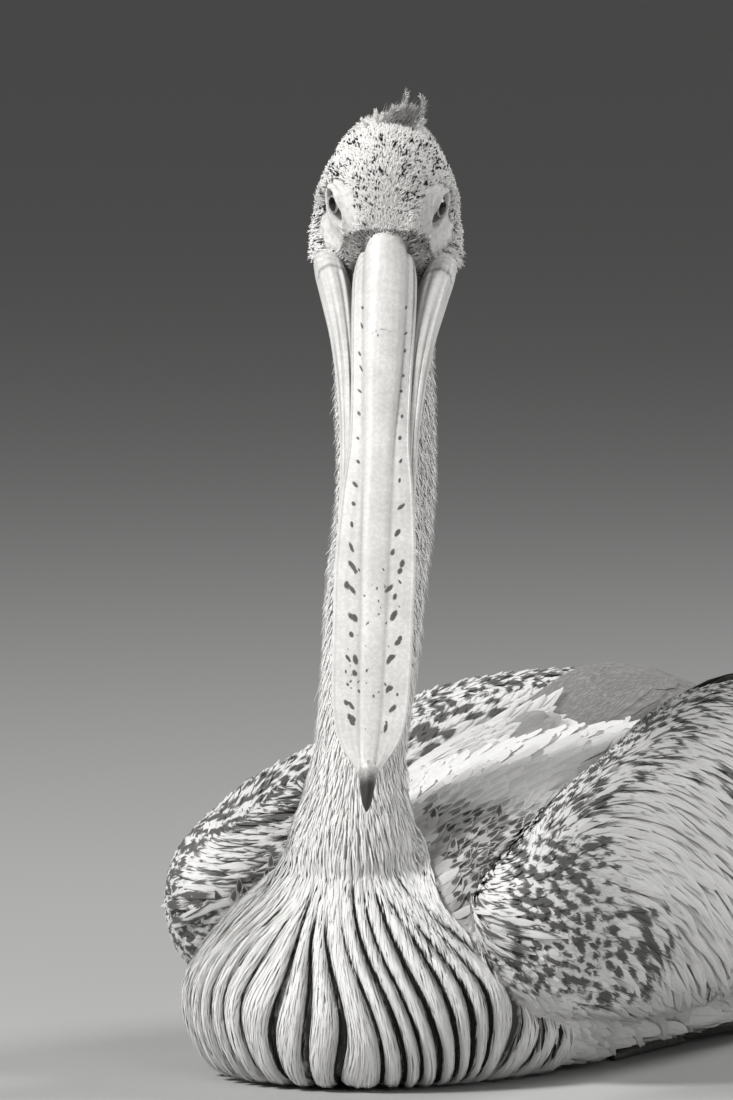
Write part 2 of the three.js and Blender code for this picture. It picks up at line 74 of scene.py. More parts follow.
def superellipse(angle, exponent):
    c, s = np.cos(angle), np.sin(angle)
    return np.sign(c) * np.abs(c)**(2 / exponent), np.sign(s) * np.abs(s)**(2 / exponent)


# a ball's mesh drawn out by shape(t from pole to pole, angle) in millimetres
def moulded(around, along, shape):
    bm = bmesh.new()
    bmesh.ops.create_uvsphere(bm, u_segments=around, v_segments=along, radius=1)
    co = np.array([v.co for v in bm.verts])
    places = shape(np.arccos(np.clip(-co[:, 2], -1, 1)) / np.pi, np.arctan2(co[:, 1], co[:, 0])) * mm
    for v, place in zip(bm.verts, places):
        v.co = place
    layer = bm.loops.layers.uv.new("vane")
    for face in bm.faces:
        for loop in face.loops:
            x, y, z = co[loop.vert.index]
            up = math.acos(max(-1, min(1, -z))) / math.pi
            loop[layer].uv = (.5 + .5 * x / (math.hypot(x, y) + 1e-6), up)
    bmesh.ops.recalc_face_normals(bm, faces=bm.faces)
    return bm


def asObject(bm, name):
    mesh = bpy.data.meshes.new(name)
    bm.to_mesh(mesh)
    bm.free()
    mesh.polygons.foreach_set("use_smooth", [True] * len(mesh.polygons))
    obj = bpy.data.objects.new(name, mesh)
    bpy.context.collection.objects.link(obj)
    return obj


def baked(obj):  # the object's mesh with its modifiers applied
    shown = obj.evaluated_get(bpy.context.evaluated_depsgraph_get())
    mesh = bpy.data.meshes.new_from_object(shown)
    obj.modifiers.clear()
    obj.data = mesh
    return obj


def setValues(mesh, key, values):  # a number for each vertex
    layer = mesh.attributes.new(key, "FLOAT", "POINT")
    layer.data.foreach_set("value", values.astype(np.float32))


def setVectors(mesh, key, values):
    mesh.attributes.new(key, "FLOAT_VECTOR", "POINT").data.foreach_set("vector", values.ravel())


def station(rows, t):  # eased place from the first row to the last
    first, last = rows[0][0], rows[-1][0]
    return first + (last - first) * (.45 * t + .55 * (1 - np.cos(np.pi * t)) / 2)


shot = {"azimuth": 38, "elevation": 4, "distance": 5, "aimAcross": .00825, "aimHeight": .265, "lens": 327.3}
azimuth, elevation = math.radians(shot["azimuth"]), math.radians(shot["elevation"])
across = Vector((math.cos(azimuth), math.sin(azimuth), 0))
toward = Vector((math.sin(azimuth) * math.cos(elevation), -math.cos(azimuth) * math.cos(elevation),
                 math.sin(elevation)))
aim = across * shot["aimAcross"] + Vector((0, 0, shot["aimHeight"]))
lens = bpy.data.cameras.new("camera")
lens.lens, lens.sensor_fit, lens.sensor_height = shot["lens"], "VERTICAL", 36
lens.clip_end = 100
camera = bpy.data.objects.new("camera", lens)
camera.location = aim + toward * shot["distance"]
camera.rotation_euler = (-toward).to_track_quat("-Z", "Y").to_euler()
bpy.context.collection.objects.link(camera)
bpy.context.scene.camera = camera

studio = {
    "lights": [  # name, place, size, power in watts
        ("key", (-.9, -2.8, 2.9), 1, 166),
        ("fill", (3.4, -1.8, 1.5), 1.6, 24),
        ("back", (1.6, 2.8, 2.4), 1.4, 75),
    ],
    "ambient": .12, "floor": (.46, .46, .455),
}
for name, place, size, power in studio["lights"]:
    lamp = bpy.data.lights.new(name, "AREA")
    lamp.shape, lamp.size, lamp.energy = "DISK", size, power
    light = bpy.data.objects.new(name, lamp)
    light.location = place
    light.rotation_euler = (Vector((0, .1, .25)) - light.location).to_track_quat("-Z", "Y").to_euler()
    bpy.context.collection.objects.link(light)
world = bpy.data.worlds.new("studio")
world.use_nodes = True
world.node_tree.nodes["Background"].inputs["Color"].default_value = (1, 1, 1, 1)
world.node_tree.nodes["Background"].inputs["Strength"].default_value = studio["ambient"]
bpy.context.scene.world = world
bpy.context.scene.view_settings.view_transform = "Standard"
print("camera and light set")

# the turned neck's and head's own axes, placed from the two eyes
pose = {"turn": 38, "dip": 55.5, "roll": 2.1, "eyeOut": 19.9, "eyeAlong": -3.3, "eyeAbove": -2.3,
        "eyeRadius": 9.3}
turn = Matrix.Rotation(math.radians(pose["turn"]), 3, "Z")
headTurn = turn @ Matrix.Rotation(math.radians(pose["roll"]), 3, "Y") \
    @ Matrix.Rotation(math.radians(pose["dip"]), 3, "X")


def boxCentre(node):
    return sum((Vector(corner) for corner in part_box(node)), Vector()) / 2


headOrigin = (boxCentre("eye_left") + boxCentre("eye_right")) / 2 / mm \
    - headTurn @ Vector((0, -pose["eyeAlong"], pose["eyeAbove"]))
headAxes, headPlace, turnAxes = np.array(headTurn), np.array(headOrigin), np.array(turn)
print("head origin", [round(v, 1) for v in headOrigin])


def stack(*columns):
    return np.stack(np.broadcast_arrays(*columns), -1).astype(float)


def fromTurned(acrossHead, ahead, height):
    return stack(acrossHead, -np.asarray(ahead, float), height) @ turnAxes.T


def fromHead(side, along, above):
    return stack(side, -np.asarray(along, float), above) @ headAxes.T + headPlace


def toHead(points):  # side, along and above in millimetres, for points in metres
    local = (points / mm - headPlace) @ headAxes
    return local[:, 0], -local[:, 1], local[:, 2]


# the flesh under the coat: rows of sections and the shapes they give
trunkRows = [  # y, half width, lowest, widest and highest z, squareness of the upper half
    [-77, 4, 38, 42, 46, 2], [-72, 28, 18, 40, 60, 1.8], [-60, 54, 0, 41, 77, 1.7],
    [-38, 78, -14, 42, 95, 1.6], [0, 96, -22, 46, 116, 1.6], [60, 106, -26, 54, 140, 1.9],
    [140, 108, -26, 62, 156, 2.2], [220, 103, -24, 68, 163, 2.2], [300, 86, -16, 73, 159, 2.2],
    [370, 62, 4, 77, 140, 2.1], [430, 38, 36, 79, 117, 2], [468, 18, 61, 81, 101, 2],
    [484, 3, 80, 82, 84, 2],
]
bellRows = [  # height, radius, centre's x and y
    [2, 60, 0, 20], [12, 80, 0, 20], [38, 90, 0, 19], [52, 88, 0, 17], [66, 78, 0, 13], [79, 66, 0, 9],
    [93, 51, 0, 6], [113, 38, 1, 3], [136, 31, 3, 1], [162, 27, 4.5, 1.5], [172, 3, 5, 2],
]
neckRows = [  # height, centre across and ahead, half width across, half depth ahead
    [100, 1, 6, 20, 20], [108, 1, 6, 34, 34], [150, 3.5, 4, 27.5, 28.5], [193, 8.5, -6, 27.2, 28],
    [243, 12.8, -18, 27.9, 27], [293, 18, -27, 27.6, 26.5], [338, 17.5, -29, 28, 27.5],
    [376, 16.9, -26, 28, 29], [398, 17.5, -21, 31, 30.5], [416, 18, -16, 33, 30], [428, 18, -14, 20, 18],
]
headRows = [  # along, half width, lowest, widest and highest above the eyes' line
    [-55, 3, -9, -6, -3], [-50, 15, -23, -8, 8], [-42, 24.5, -34, -13, 17], [-28, 33.5, -46, -21, 25],
    [-12, 39, -51, -28, 27], [-1, 40, -49, -30, 24.5], [9, 39, -46, -27, 19.5], [15, 35.5, -42, -26, 16],
    [20, 26, -36, -22, 13.5], [26, 16.5, -28, -15, 10], [30, 10, -20, -12, 4],
]
wingRows = [  # y, centre's x and z, half width, half height, lean of the section in degrees
    [-8, 92, 86, 6, 8, 4], [-2, 95, 85, 17, 20, 4], [7, 98, 82, 29, 33, 5], [22, 101, 81, 37, 44, 6],
    [60, 99, 88, 41, 58, 8], [120, 93, 96, 43, 70, 9], [180, 83, 107, 45, 78, 11],
    [240, 71, 113, 47, 77, 14], [300, 60, 117, 45, 69, 17], [352, 50, 116, 41, 54, 20],
    [400, 42, 112, 35, 39, 23], [440, 35, 109, 27, 27, 26], [470, 30, 107, 3, 3, 28],
]
coatDepth = {"trunk": 6, "bell": 7.5, "neck": 5.2, "head": 2.6, "wing": 4.6}
trunkAt, bellAt, neckAt = smoothTable(trunkRows), smoothTable(bellRows), smoothTable(neckRows)
headAt, wingAt = smoothTable(headRows), smoothTable(wingRows)


def trunkShape(t, angle):
    y, grow = station(trunkRows, t), -coatDepth["trunk"]
    halfWidth, low, middle, high, squareness = trunkAt(y)
    acrossPart, up = superellipse(angle, np.where(np.sin(angle) > 0, squareness, 2.1))
    reach = np.maximum(np.where(up > 0, high - middle, middle - low) + grow, 1)
    return stack(np.maximum(halfWidth + grow, 1) * acrossPart, y, middle + reach * up)


def bellShape(t, angle):
    height = station(bellRows, t)
    radius, x, y = bellAt(height)
    radius = np.maximum(radius - coatDepth["bell"], 1)
    return stack(x + radius * np.cos(angle), y + radius * np.sin(angle), height)


def neckShape(t, angle):
    height, grow = station(neckRows, t), -coatDepth["neck"]
    acrossNeck, ahead, halfWidth, halfDepth = neckAt(height)
    return fromTurned(acrossNeck + np.maximum(halfWidth + grow, 1) * np.cos(angle),
                      ahead + np.maximum(halfDepth + grow, 1) * np.sin(angle), height)


def headShape(t, angle):
    along, grow = station(headRows, t), -coatDepth["head"]
    halfWidth, low, middle, high = headAt(along)
    up = np.sin(angle)
    reach = np.maximum(np.where(up > 0, high - middle, middle - low) + grow, 1)
    return fromHead(np.maximum(halfWidth + grow, 1) * np.cos(angle), along, middle + reach * up)


def wingPoint(side, y, angle, grow):
    x, z, halfWidth, halfHeight, lean = wingAt(y)
    acrossPart, up = superellipse(angle, 2.15)
    u, v = np.maximum(halfWidth + grow, 1) * acrossPart, np.maximum(halfHeight + grow, 1) * up
    tilt = np.radians(lean)
    return stack(side * (x + u * np.cos(tilt) - v * np.sin(tilt)), y, z + u * np.sin(tilt) + v * np.cos(tilt))


skinPlan = {"voxel": .0028, "smoothing": 5, "belly": 7, "footHollow": 18}
flesh = [
    moulded(72, 60, trunkShape), moulded(72, 40, bellShape), moulded(56, 50, neckShape),
    moulded(72, 60, headShape),
    moulded(56, 70, lambda t, a: wingPoint(1, station(wingRows, t), a, -coatDepth["wing"])),
    moulded(56, 70, lambda t, a: wingPoint(-1, station(wingRows, t), a, -coatDepth["wing"])),
]
whole = bmesh.new()
for part in flesh:
    scratch = bpy.data.meshes.new("scratch")
    part.to_mesh(scratch)
    part.free()
    whole.from_mesh(scratch)
    bpy.data.meshes.remove(scratch)
for v in whole.verts:
    overFoot = abs(abs(v.co.x) - .046) < .036 and .118 < v.co.y < .31
    v.co.z = max(v.co.z, skinPlan["footHollow" if overFoot and v.co.z < .03 else "belly"] * mm)
skin = asObject(whole, "skin")
remesh = skin.modifiers.new("remesh", "REMESH")
remesh.mode, remesh.voxel_size = "VOXEL", skinPlan["voxel"]
soften = skin.modifiers.new("soften", "SMOOTH")
soften.factor, soften.iterations = .5, skinPlan["smoothing"]
baked(skin)
print("skin remeshed", len(skin.data.polygons))
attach(skin, "root")
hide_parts("trunk", "neck_lower", "neck_upper", "head", "wing_left", "wing_right")

# the head's finer shape: brow, eyelids, folds and lores
faceShape = {
    # along, half width beside the eyes
    "narrowing": [[-16, 34], [-9, 30.6], [0, 28], [10, 22.2], [18, 17.6], [27, 15.2]],
    "openingFront": (21.7, 11.2, -5), "openingBack": (29, -7, 2.3), "openingMiddle": (26.4, 1.6, -.6),
    "foreheadLobe": (12.6, 19.5, 3.2),
    "facing": (.826, .445, .344), "halfOpening": 5.1, "lidOverBall": .75, "upperLid": 1.1, "lowerLid": .55,
    "sink": 2.6,
}
openFront, openBack = np.array(faceShape["openingFront"], float), np.array(faceShape["openingBack"], float)
lidAlong = unit(openFront - openBack)
lidOut = unit(np.array(faceShape["facing"]) - lidAlong * np.dot(faceShape["facing"], lidAlong))
lidUp = np.cross(lidAlong, lidOut)
lidUp = lidUp * np.sign(lidUp[2])
lidMiddle = np.array(faceShape["openingMiddle"], float)
lidHalf = np.linalg.norm(openFront - openBack) / 2
ballCentre = np.array([pose["eyeOut"], pose["eyeAlong"], pose["eyeAbove"]]) - lidMiddle
ballInLid = np.array([ballCentre @ lidAlong, ballCentre @ lidUp, ballCentre @ lidOut])


# place along and across an eye's opening and out of it, for the head's own coordinates
def lidPlace(side, along, above):
    local = np.stack([np.abs(side), along, above], -1) - lidMiddle
    return local @ lidAlong, local @ lidUp, local @ lidOut


def openingEdge(along, up):  # distance outside the almond opening, negative within it
    half = faceShape["halfOpening"] * np.clip(1 - (along / lidHalf)**2, 0, 1)**.7
    overrun = np.maximum(np.abs(along) - lidHalf, 0)
    within = np.where(overrun > 0, 0, np.maximum(half - np.abs(up), 0))
    return np.hypot(np.maximum(np.abs(up) - half, 0), overrun) - within


def verts(mesh):
    co = np.empty(len(mesh.vertices) * 3)
    mesh.vertices.foreach_get("co", co)
    return co.reshape(-1, 3)


def vertNormals(mesh):
    normals = np.empty(len(mesh.vertices) * 3, np.float32)
    mesh.vertex_normals.foreach_get("vector", normals)
    return normals.reshape(-1, 3).astype(float)


def nearFace(points, reach):
    side, along, above = toHead(points)
    return (along > -18) & (along < 32) & (above > -34) & (above < 24) & (np.abs(side) > 6) & \
        (np.hypot(along - 4, above + 2) < reach)


def refine(mesh, chosen, cuts):
    bm = bmesh.new()
    bm.from_mesh(mesh)
    edges = [e for e in bm.edges if chosen[e.verts[0].index] and chosen[e.verts[1].index]]
    bmesh.ops.subdivide_edges(bm, edges=edges, cuts=cuts, use_grid_fill=True)
    bmesh.ops.triangulate(bm, faces=[f for f in bm.faces if len(f.verts) > 4])
    bm.to_mesh(mesh)
    bm.free()


def smoothed(mesh, chosen, rounds):
    bm = bmesh.new()
    bm.from_mesh(mesh)
    soft = [v for v in bm.verts if chosen[v.index]]
    for _ in range(rounds):
        bmesh.ops.smooth_vert(bm, verts=soft, factor=.5, use_axis_x=True, use_axis_y=True, use_axis_z=True)
    bm.to_mesh(mesh)
    bm.free()


points = verts(skin.data)
refine(skin.data, (points[:, 2] > .395) & (toHead(points)[1] > -60), 1)
refine(skin.data, nearFace(verts(skin.data), 28), 1)
smoothed(skin.data, verts(skin.data)[:, 2] > .39, 4)

points = verts(skin.data)
side, along, above = toHead(points)
narrow = smoothTable(faceShape["narrowing"])(along)[0]
window = ease(above, -32, -19) * ease(above, 15, 4) * ease(along, -18, -9) * (points[:, 2] > .39)
narrowed = np.sign(side) * (np.abs(side) + (narrow - np.abs(side)) * window)
side = np.where(np.abs(side) > narrow, narrowed, side)
lobeSide, lobeAlong, lobeHeight = faceShape["foreheadLobe"]
lobe = np.exp(-((np.abs(side) - lobeSide) / 3.6)**2 - ((along - lobeAlong) / 5)**2)
above = above + lobeHeight * lobe * (above > -12)
lidS, lidT, lidN = lidPlace(side, along, above)
edge = openingEdge(lidS, lidT)
nearEye = (np.abs(lidN) < 13) & (edge < 20) & (along > -22) & (points[:, 2] > .39)
shell = pose["eyeRadius"] + faceShape["lidOverBall"]
underShell = shell**2 - (lidS - ballInLid[0])**2 - (lidT - ballInLid[1])**2
overBall = ballInLid[2] + np.sqrt(np.maximum(underShell, 0))
corner = -.6 - .012 * np.maximum(edge, 0)**2
wrap = np.maximum(overBall, corner)
lidN = np.where(nearEye, lidN + (wrap - lidN) * ease(edge, 8.5, 1), lidN)
upper = ease(lidT, -1.5, 1.5)
out = np.where(edge < 0, -faceShape["sink"] * ease(edge, .2, -.9), 0)
out += (faceShape["upperLid"] * upper + faceShape["lowerLid"] * (1 - upper)) \
    * np.exp(-((edge - (.3 + .8 * upper)) / (.7 + .8 * upper))**2)
out -= upper * .8 * np.exp(-((edge - 4) / .8)**2)  # the crease above the upper lid
out += upper * 1.1 * np.exp(-((edge - 6.4) / 1.8)**2)
out -= (1 - upper) * .5 * np.exp(-((edge - 2.3) / .6)**2)
out += (1 - upper) * .3 * np.exp(-((edge - 3.6) / .8)**2)
# soft folds round the eye
out += .2 * np.sin(edge * 2.9 + 1.6 * np.sin(lidS * .45)) * ease(edge, 3, 6) * ease(edge, 17, 10)
lores = ease(along, 8, 14) * ease(above, 2, -6) * ease(above, -34, -24)
out += lores * .16 * np.sin((np.abs(side) * .9 + above * .55 + .5 * np.sin(along * .7)) * 2.2)
lidN = np.where(nearEye, lidN + out, lidN)
placedLocal = lidMiddle + lidS[:, None] * lidAlong + lidT[:, None] * lidUp + lidN[:, None] * lidOut
facing = np.where(side < 0, -1, 1)
placed = fromHead(np.where(nearEye, facing * placedLocal[:, 0], side),
                  np.where(nearEye, placedLocal[:, 1], along),
                  np.where(nearEye, placedLocal[:, 2], above)) * mm
inHead = (points[:, 2] > .39)[:, None]
skin.data.vertices.foreach_set("co", np.where(inHead, placed, points).ravel())
skin.data.update()
smoothed(skin.data, nearEye & (edge > 1.4), 2)
print("head sculpted", len(skin.data.vertices))

bm = bmesh.new()
bm.from_mesh(skin.data)
bmesh.ops.triangulate(bm, faces=bm.faces)
bm.to_mesh(skin.data)
bm.free()
bpy.context.view_layer.objects.active = skin
skin.select_set(True)
bpy.ops.object.mode_set(mode="EDIT")
bpy.ops.mesh.select_all(action="SELECT")
bpy.ops.uv.smart_project(angle_limit=math.radians(66), island_margin=.002)
bpy.ops.object.mode_set(mode="OBJECT")
skin.select_set(False)
skin.data.uv_layers[0].name = "OFBake"
triCorners = np.empty(len(skin.data.loops), np.int32)
skin.data.loops.foreach_get("vertex_index", triCorners)
triCorners = triCorners.reshape(-1, 3)
skinUv = np.empty(len(skin.data.loops) * 2)
skin.data.uv_layers["OFBake"].data.foreach_get("uv", skinUv)
skinUv = skinUv.reshape(-1, 3, 2)
skinPoints, skinNormals = verts(skin.data), vertNormals(skin.data)
triPlaces = skinPoints[triCorners]
triNormals = unit(skinNormals[triCorners].mean(1))
triCentres = triPlaces.mean(1)
triCross = np.cross(triPlaces[:, 1] - triPlaces[:, 0], triPlaces[:, 2] - triPlaces[:, 0])
triAreas = np.linalg.norm(triCross, axis=1) / 2
skinSurface = BVHTree.FromPolygons(skinPoints.tolist(), triCorners.tolist())
print("skin unwrapped", len(triCorners))


def landOn(points):  # nearest places on the skin, the directions out of it there, and the faces
    faces = np.empty(len(points), int)
    places = np.empty((len(points), 3))
    find = skinSurface.find_nearest
    for i, p in enumerate(points.tolist()):
        place, _, face, _ = find(p)
        places[i], faces[i] = place, face
    return places, triNormals[faces], faces


def inWing(points):  # side, y, angle round the wing's section and share of its radius
    x, y, z = (points / mm).T
    side = np.sign(x)
    cx, cz, halfWidth, halfHeight, lean = wingAt(y)
    tilt = np.radians(lean)
    u = (np.abs(x) - cx) * np.cos(tilt) + (z - cz) * np.sin(tilt)
    v = -(np.abs(x) - cx) * np.sin(tilt) + (z - cz) * np.cos(tilt)
    inset = coatDepth["wing"]
    un, vn = u / np.maximum(halfWidth - inset, 2), v / np.maximum(halfHeight - inset, 2)
    share = (np.abs(un)**2.15 + np.abs(vn)**2.15)**(1 / 2.15)
    over = np.maximum(np.maximum(-10 - y, y - 472), 0)
    return side, y, np.arctan2(vn, un), share + over * .05


def fromNeck(points):  # share of the neck's radius, and angle, 0 towards the head's left
    acrossNeck, ahead, halfWidth, halfDepth = neckAt(points[:, 2] / mm)
    flat = points[:, :2] / mm
    local = np.stack([flat[:, 0] * turnAxes[0, 0] + flat[:, 1] * turnAxes[1, 0],
                      -(flat[:, 0] * turnAxes[0, 1] + flat[:, 1] * turnAxes[1, 1])], -1)
    dx, dy = local[:, 0] - acrossNeck, local[:, 1] - ahead
    return np.hypot(dx / halfWidth, dy / halfDepth), np.arctan2(dy, dx)


def parts(points):  # which part of the bird each place belongs to
    _, y, _, share = inWing(points)
    neckShare, _ = fromNeck(points)
    along = toHead(points)[1]
    z = points[:, 2] / mm
    names = np.full(len(points), "trunk", dtype=object)
    names[(share < 1.07)] = "wing"
    names[(neckShare < 1.25) & (z > 118)] = "neck"
    names[(z > 392) & (along > -62) & ((z > 404) | (along > -8))] = "head"
    return names


triParts = parts(triCentres)
print("parts", {name: int((triParts == name).sum()) for name in ("trunk", "wing", "neck", "head")})


def wander(points, size, seed=0):  # slow smooth variation between -1 and 1
    p = points / size + seed * 7.3
    return (np.sin(p[:, 0] * 1.7 + 2 * np.sin(p[:, 1] * .9))
            + np.sin(p[:, 1] * 1.3 + 2 * np.sin(p[:, 2] * 1.1 + 1))
            + np.sin(p[:, 2] * 1.9 + 2 * np.sin(p[:, 0] * .8 + 2))) / 3


def scatter(weight, spacing):  # roots at least spacing apart, in metres, where weight is over zero
    density = np.where(weight > 0, weight * triAreas / (spacing**2 * .75), 0)
    count = int(density.sum() * 1.9)
    picked = rng.choice(len(triAreas), count, p=density / density.sum())
    a, b = rng.random((2, count, 1))
    a, b = np.where(a + b > 1, 1 - a, a), np.where(a + b > 1, 1 - b, b)
    corners = triPlaces[picked]
    places = corners[:, 0] + a * (corners[:, 1] - corners[:, 0]) + b * (corners[:, 2] - corners[:, 0])
    reach = (spacing[picked] if np.ndim(spacing) else np.full(count, spacing)) * .8
    cell = float(reach.max())
    kept, cells = [], {}
    keys = np.floor(places / cell).astype(int).tolist()
    flat, near = places.tolist(), (reach**2).tolist()
    for i in range(count):
        x, y, z = flat[i]
        kx, ky, kz = keys[i]
        limit, free = near[i], True
        for dx in (-1, 0, 1):
            for dy in (-1, 0, 1):
                for dz in (-1, 0, 1):
                    for qx, qy, qz in cells.get((kx + dx, ky + dy, kz + dz), ()):
                        if (qx - x)**2 + (qy - y)**2 + (qz - z)**2 < limit:
                            free = False
                            break
                    if not free:
                        break
                if not free:
                    break
            if not free:
                break
        if free:
            cells.setdefault((kx, ky, kz), []).append((x, y, z))
            kept.append(i)
    faces = picked[kept]
    return places[kept], triNormals[faces], faces


def laidFlatRaw(heading, normal):
    return heading - (heading * normal).sum(-1, keepdims=True) * normal


def laidFlat(heading, normal):
    return unit(laidFlatRaw(heading, normal))


def turned(heading, normal, angle):
    angle = np.asarray(angle)[:, None]
    return heading * np.cos(angle) + np.cross(normal, heading) * np.sin(angle)


def rowShares(steps):  # rows lie closer together towards a feather's tip
    return 1 - (1 - np.linspace(0, 1, steps + 1))**1.6


def drape(roots, length, flow, steps, lift, sway=None, strides=1):
    # follows flow over the skin; lift(share, places) is the height above it in metres for each feather
    spine, normals = np.empty((len(roots), steps + 1, 3)), np.empty((len(roots), steps + 1, 3))
    places, shares = roots, rowShares(steps)
    for k in range(steps + 1):
        for _ in range(strides if k else 1):
            if k:
                places = places + heading * (length * (shares[k] - shares[k - 1]) / strides)[:, None]
            places, normal, faces = landOn(places)
            heading = laidFlat(flow(places, normal), normal)
            if sway is not None:
                heading = turned(heading, normal, sway)
        if k == 0:
            first = faces
        spine[:, k] = places + normal * lift(shares[k], places)[:, None]
        normals[:, k] = normal
    return spine, normals, first


def springing(roots, normals, heading, length, steps, lift, curl=0):
    # short feathers that leave the skin straight, rising to lift and bending by curl
    share = rowShares(steps)[None, :, None]
    reach = np.asarray(length)[:, None, None]
    rise = np.asarray(lift)[:, None, None] * (1 - (1 - share)**1.6)
    sideways = np.cross(normals, heading)[:, None] * np.asarray(curl)[..., None, None] * share**2 * reach
    return roots[:, None] + heading[:, None] * share * reach + normals[:, None] * rise + sideways, \
        np.repeat(normals[:, None], steps + 1, 1)


bakePatch = .003  # how large each feather's patch is on the skin's unwrap
bladeShapes = {  # half width along a feather, from root to tip
    "lock": lambda v: np.interp(v, [0, .15, .5, .8, 1], [.35, .8, 1, .7, .06]),
    "tuft": lambda v: np.interp(v, [0, .35, .7, 1], [.6, 1, .9, .12]),
    "covert": lambda v: np.interp(v, [0, .2, .55, .78, .93, 1], [.45, .85, 1, .94, .66, .16]),
    "lance": lambda v: np.interp(v, [0, .15, .5, .8, .95, 1], [.4, .85, 1, .62, .22, .04]),
    "quill": lambda v: np.interp(v, [0, .06, .3, .8, .94, 1], [.25, .6, .95, 1, .7, .12]),
}


def blades(name, spine, normals, faces, width, shape, columns, camber, tatter=0, lance=0, **values):
    # one joined mesh of feathers: a grid copied to every spine, with its own measures and tones as attributes
    count, rows = spine.shape[0], spine.shape[1]
    bm = bmesh.new()
    bmesh.ops.create_grid(bm, x_segments=columns, y_segments=rows - 1, size=1)
    grid = np.array([v.co for v in bm.verts])
    quads = np.array([[v.index for v in f.verts] for f in bm.faces])
    bm.free()
    a, row = grid[:, 0], np.rint((grid[:, 1] + 1) / 2 * (rows - 1)).astype(int)
    v = rowShares(rows - 1)[row]
    tangent = unit(np.gradient(spine, axis=1))
    sideways = unit(np.cross(tangent, normals))
    upwards = np.cross(sideways, tangent)
    lance = np.broadcast_to(lance, (count,))[:, None]
    outline = bladeShapes[shape](v)[None] * (1 - lance) + bladeShapes["lance"](v)[None] * lance
    half = width[:, None] / 2 * outline
    if tatter:
        half = half * (1 + tatter * (rng.random(half.shape) - .6) * (np.abs(a) > .9))
    places = spine[:, row] + sideways[:, row] * (a * half)[..., None] \
        - upwards[:, row] * (camber * a**2 * half)[..., None]
    places[..., 2] = np.maximum(places[..., 2], .0004)
    mesh = bpy.data.meshes.new(name)
    size = len(grid)
    mesh.vertices.add(count * size)
    mesh.vertices.foreach_set("co", places.ravel())
    corners = (quads[None] + np.arange(count)[:, None, None] * size).reshape(-1)
    mesh.loops.add(len(corners))
    mesh.loops.foreach_set("vertex_index", corners)
    mesh.polygons.add(len(corners) // 4)
    mesh.polygons.foreach_set("loop_start", np.arange(0, len(corners), 4))
    mesh.update(calc_edges=True)
    mesh.polygons.foreach_set("use_smooth", [True] * len(mesh.polygons))
    onSkin = skinUv[faces].mean(1)
    bakeUv = onSkin[:, None] + np.stack([a, v * 2 - 1], -1)[None] * bakePatch / 2
    vaneUv = np.repeat(np.stack([a * .5 + .5, v], -1)[None], count, 0)
    for layer, uv in (("OFBake", bakeUv), ("vane", vaneUv)):
        mesh.uv_layers.new(name=layer).data.foreach_set("uv", uv.reshape(-1, 2)[corners].ravel())
    length = np.linalg.norm(np.diff(spine, axis=1), axis=2).sum(1)
    span = np.stack([width / mm, length / mm, rng.random(count)], -1)
    setVectors(mesh, "span", np.repeat(span, size, 0))
    for key, value in values.items():  # one value for each feather, or a function of the places on them
        if callable(value):
            setValues(mesh, key, value(places.reshape(-1, 3)))
        else:
            setValues(mesh, key, np.repeat(np.broadcast_to(value, (count,)), size))
    obj = bpy.data.objects.new(name, mesh)
    bpy.context.collection.objects.link(obj)
    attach(obj, "root")
    print(name, count, "feathers,", len(mesh.polygons) * 2, "triangles")
    return obj


# markings, the same for the skin and for the feathers rooted on it
headMarks = {  # places down and across the face, in millimetres; specks: length and width
    "innerEdge": ([-13, -10.4, -2.4, 6.2, 12.5, 21.9], [26.5, 19.6, 15.8, 14.5, 16.1, 23]),
    "outerEdge": ([-8.8, 0, 9.3, 18.1, 21.9], [29.3, 33, 33, 30.5, 23]),
    "loresEdge": ([5, 14, 24, 30], [15, 18, 22, 26]), "loresTop": (12.6, 16.2),
    "fine": (1.7, 1.15), "coarse": (2.9, 1.9), "cheek": (2.6, 1.7),
}
wingMarks = {  # length and width of each kind of mark, how many of its places are filled, and its own pattern
    "dashes": (11.5, 5.2, .86, 0), "shortDashes": (8, 3.6, .5, 1), "blots": (13, 7.5, .85, 2),
    "largeBlots": (25, 12, .5, 3), "longDashes": (40, 10, .42, 4), "inner": (15, 9, .7, 5),
    "innerDots": (10, 5, .8, 6), "cap": (7.4, 4.6, .9, 10), "capBlots": (12, 6, .4, 11),
    "capDots": (4.4, 3, .7, 12),
}
slopeStations = np.arange(-20, 501.)
featherSlope = lambda y: np.radians(12 + 30 * ease(y, 20, 110) + 14 * ease(y, 30, -4))
slopeFall = np.cumsum(np.tan(np.minimum(featherSlope(slopeStations), .9)))
slopeRun = np.cumsum(1 / np.cos(np.minimum(featherSlope(slopeStations), .9)))
tosses = np.random.default_rng(5).random((64, 64, 5))


def scattered(along, over, stepAlong, stepOver, fill, seed):  # 1 at the heart of soft marks, 0 between them
    i, j = np.floor(along / stepAlong), np.floor(over / stepOver)
    best = np.zeros_like(along)
    for di in (-1, 0, 1):
        for dj in (-1, 0, 1):
            ci, cj = i + di, j + dj
            toss = tosses[(ci + seed * 17).astype(int) % 64, (cj + seed * 29).astype(int) % 64]
            da = (along - (ci + .2 + .6 * toss[:, 0]) * stepAlong) / (stepAlong * (.36 + .3 * toss[:, 1]))
            dc = (over - (cj + .2 + .6 * toss[:, 2]) * stepOver) / (stepOver * (.32 + .24 * toss[:, 3]))
            best = np.maximum(best, ease(np.hypot(da, dc), 1.2, .5) * (toss[:, 4] < fill))
    return best


def downFace(along, above):  # how far down the face a place is, seen from the front
    return .8616 * along - .5075 * above


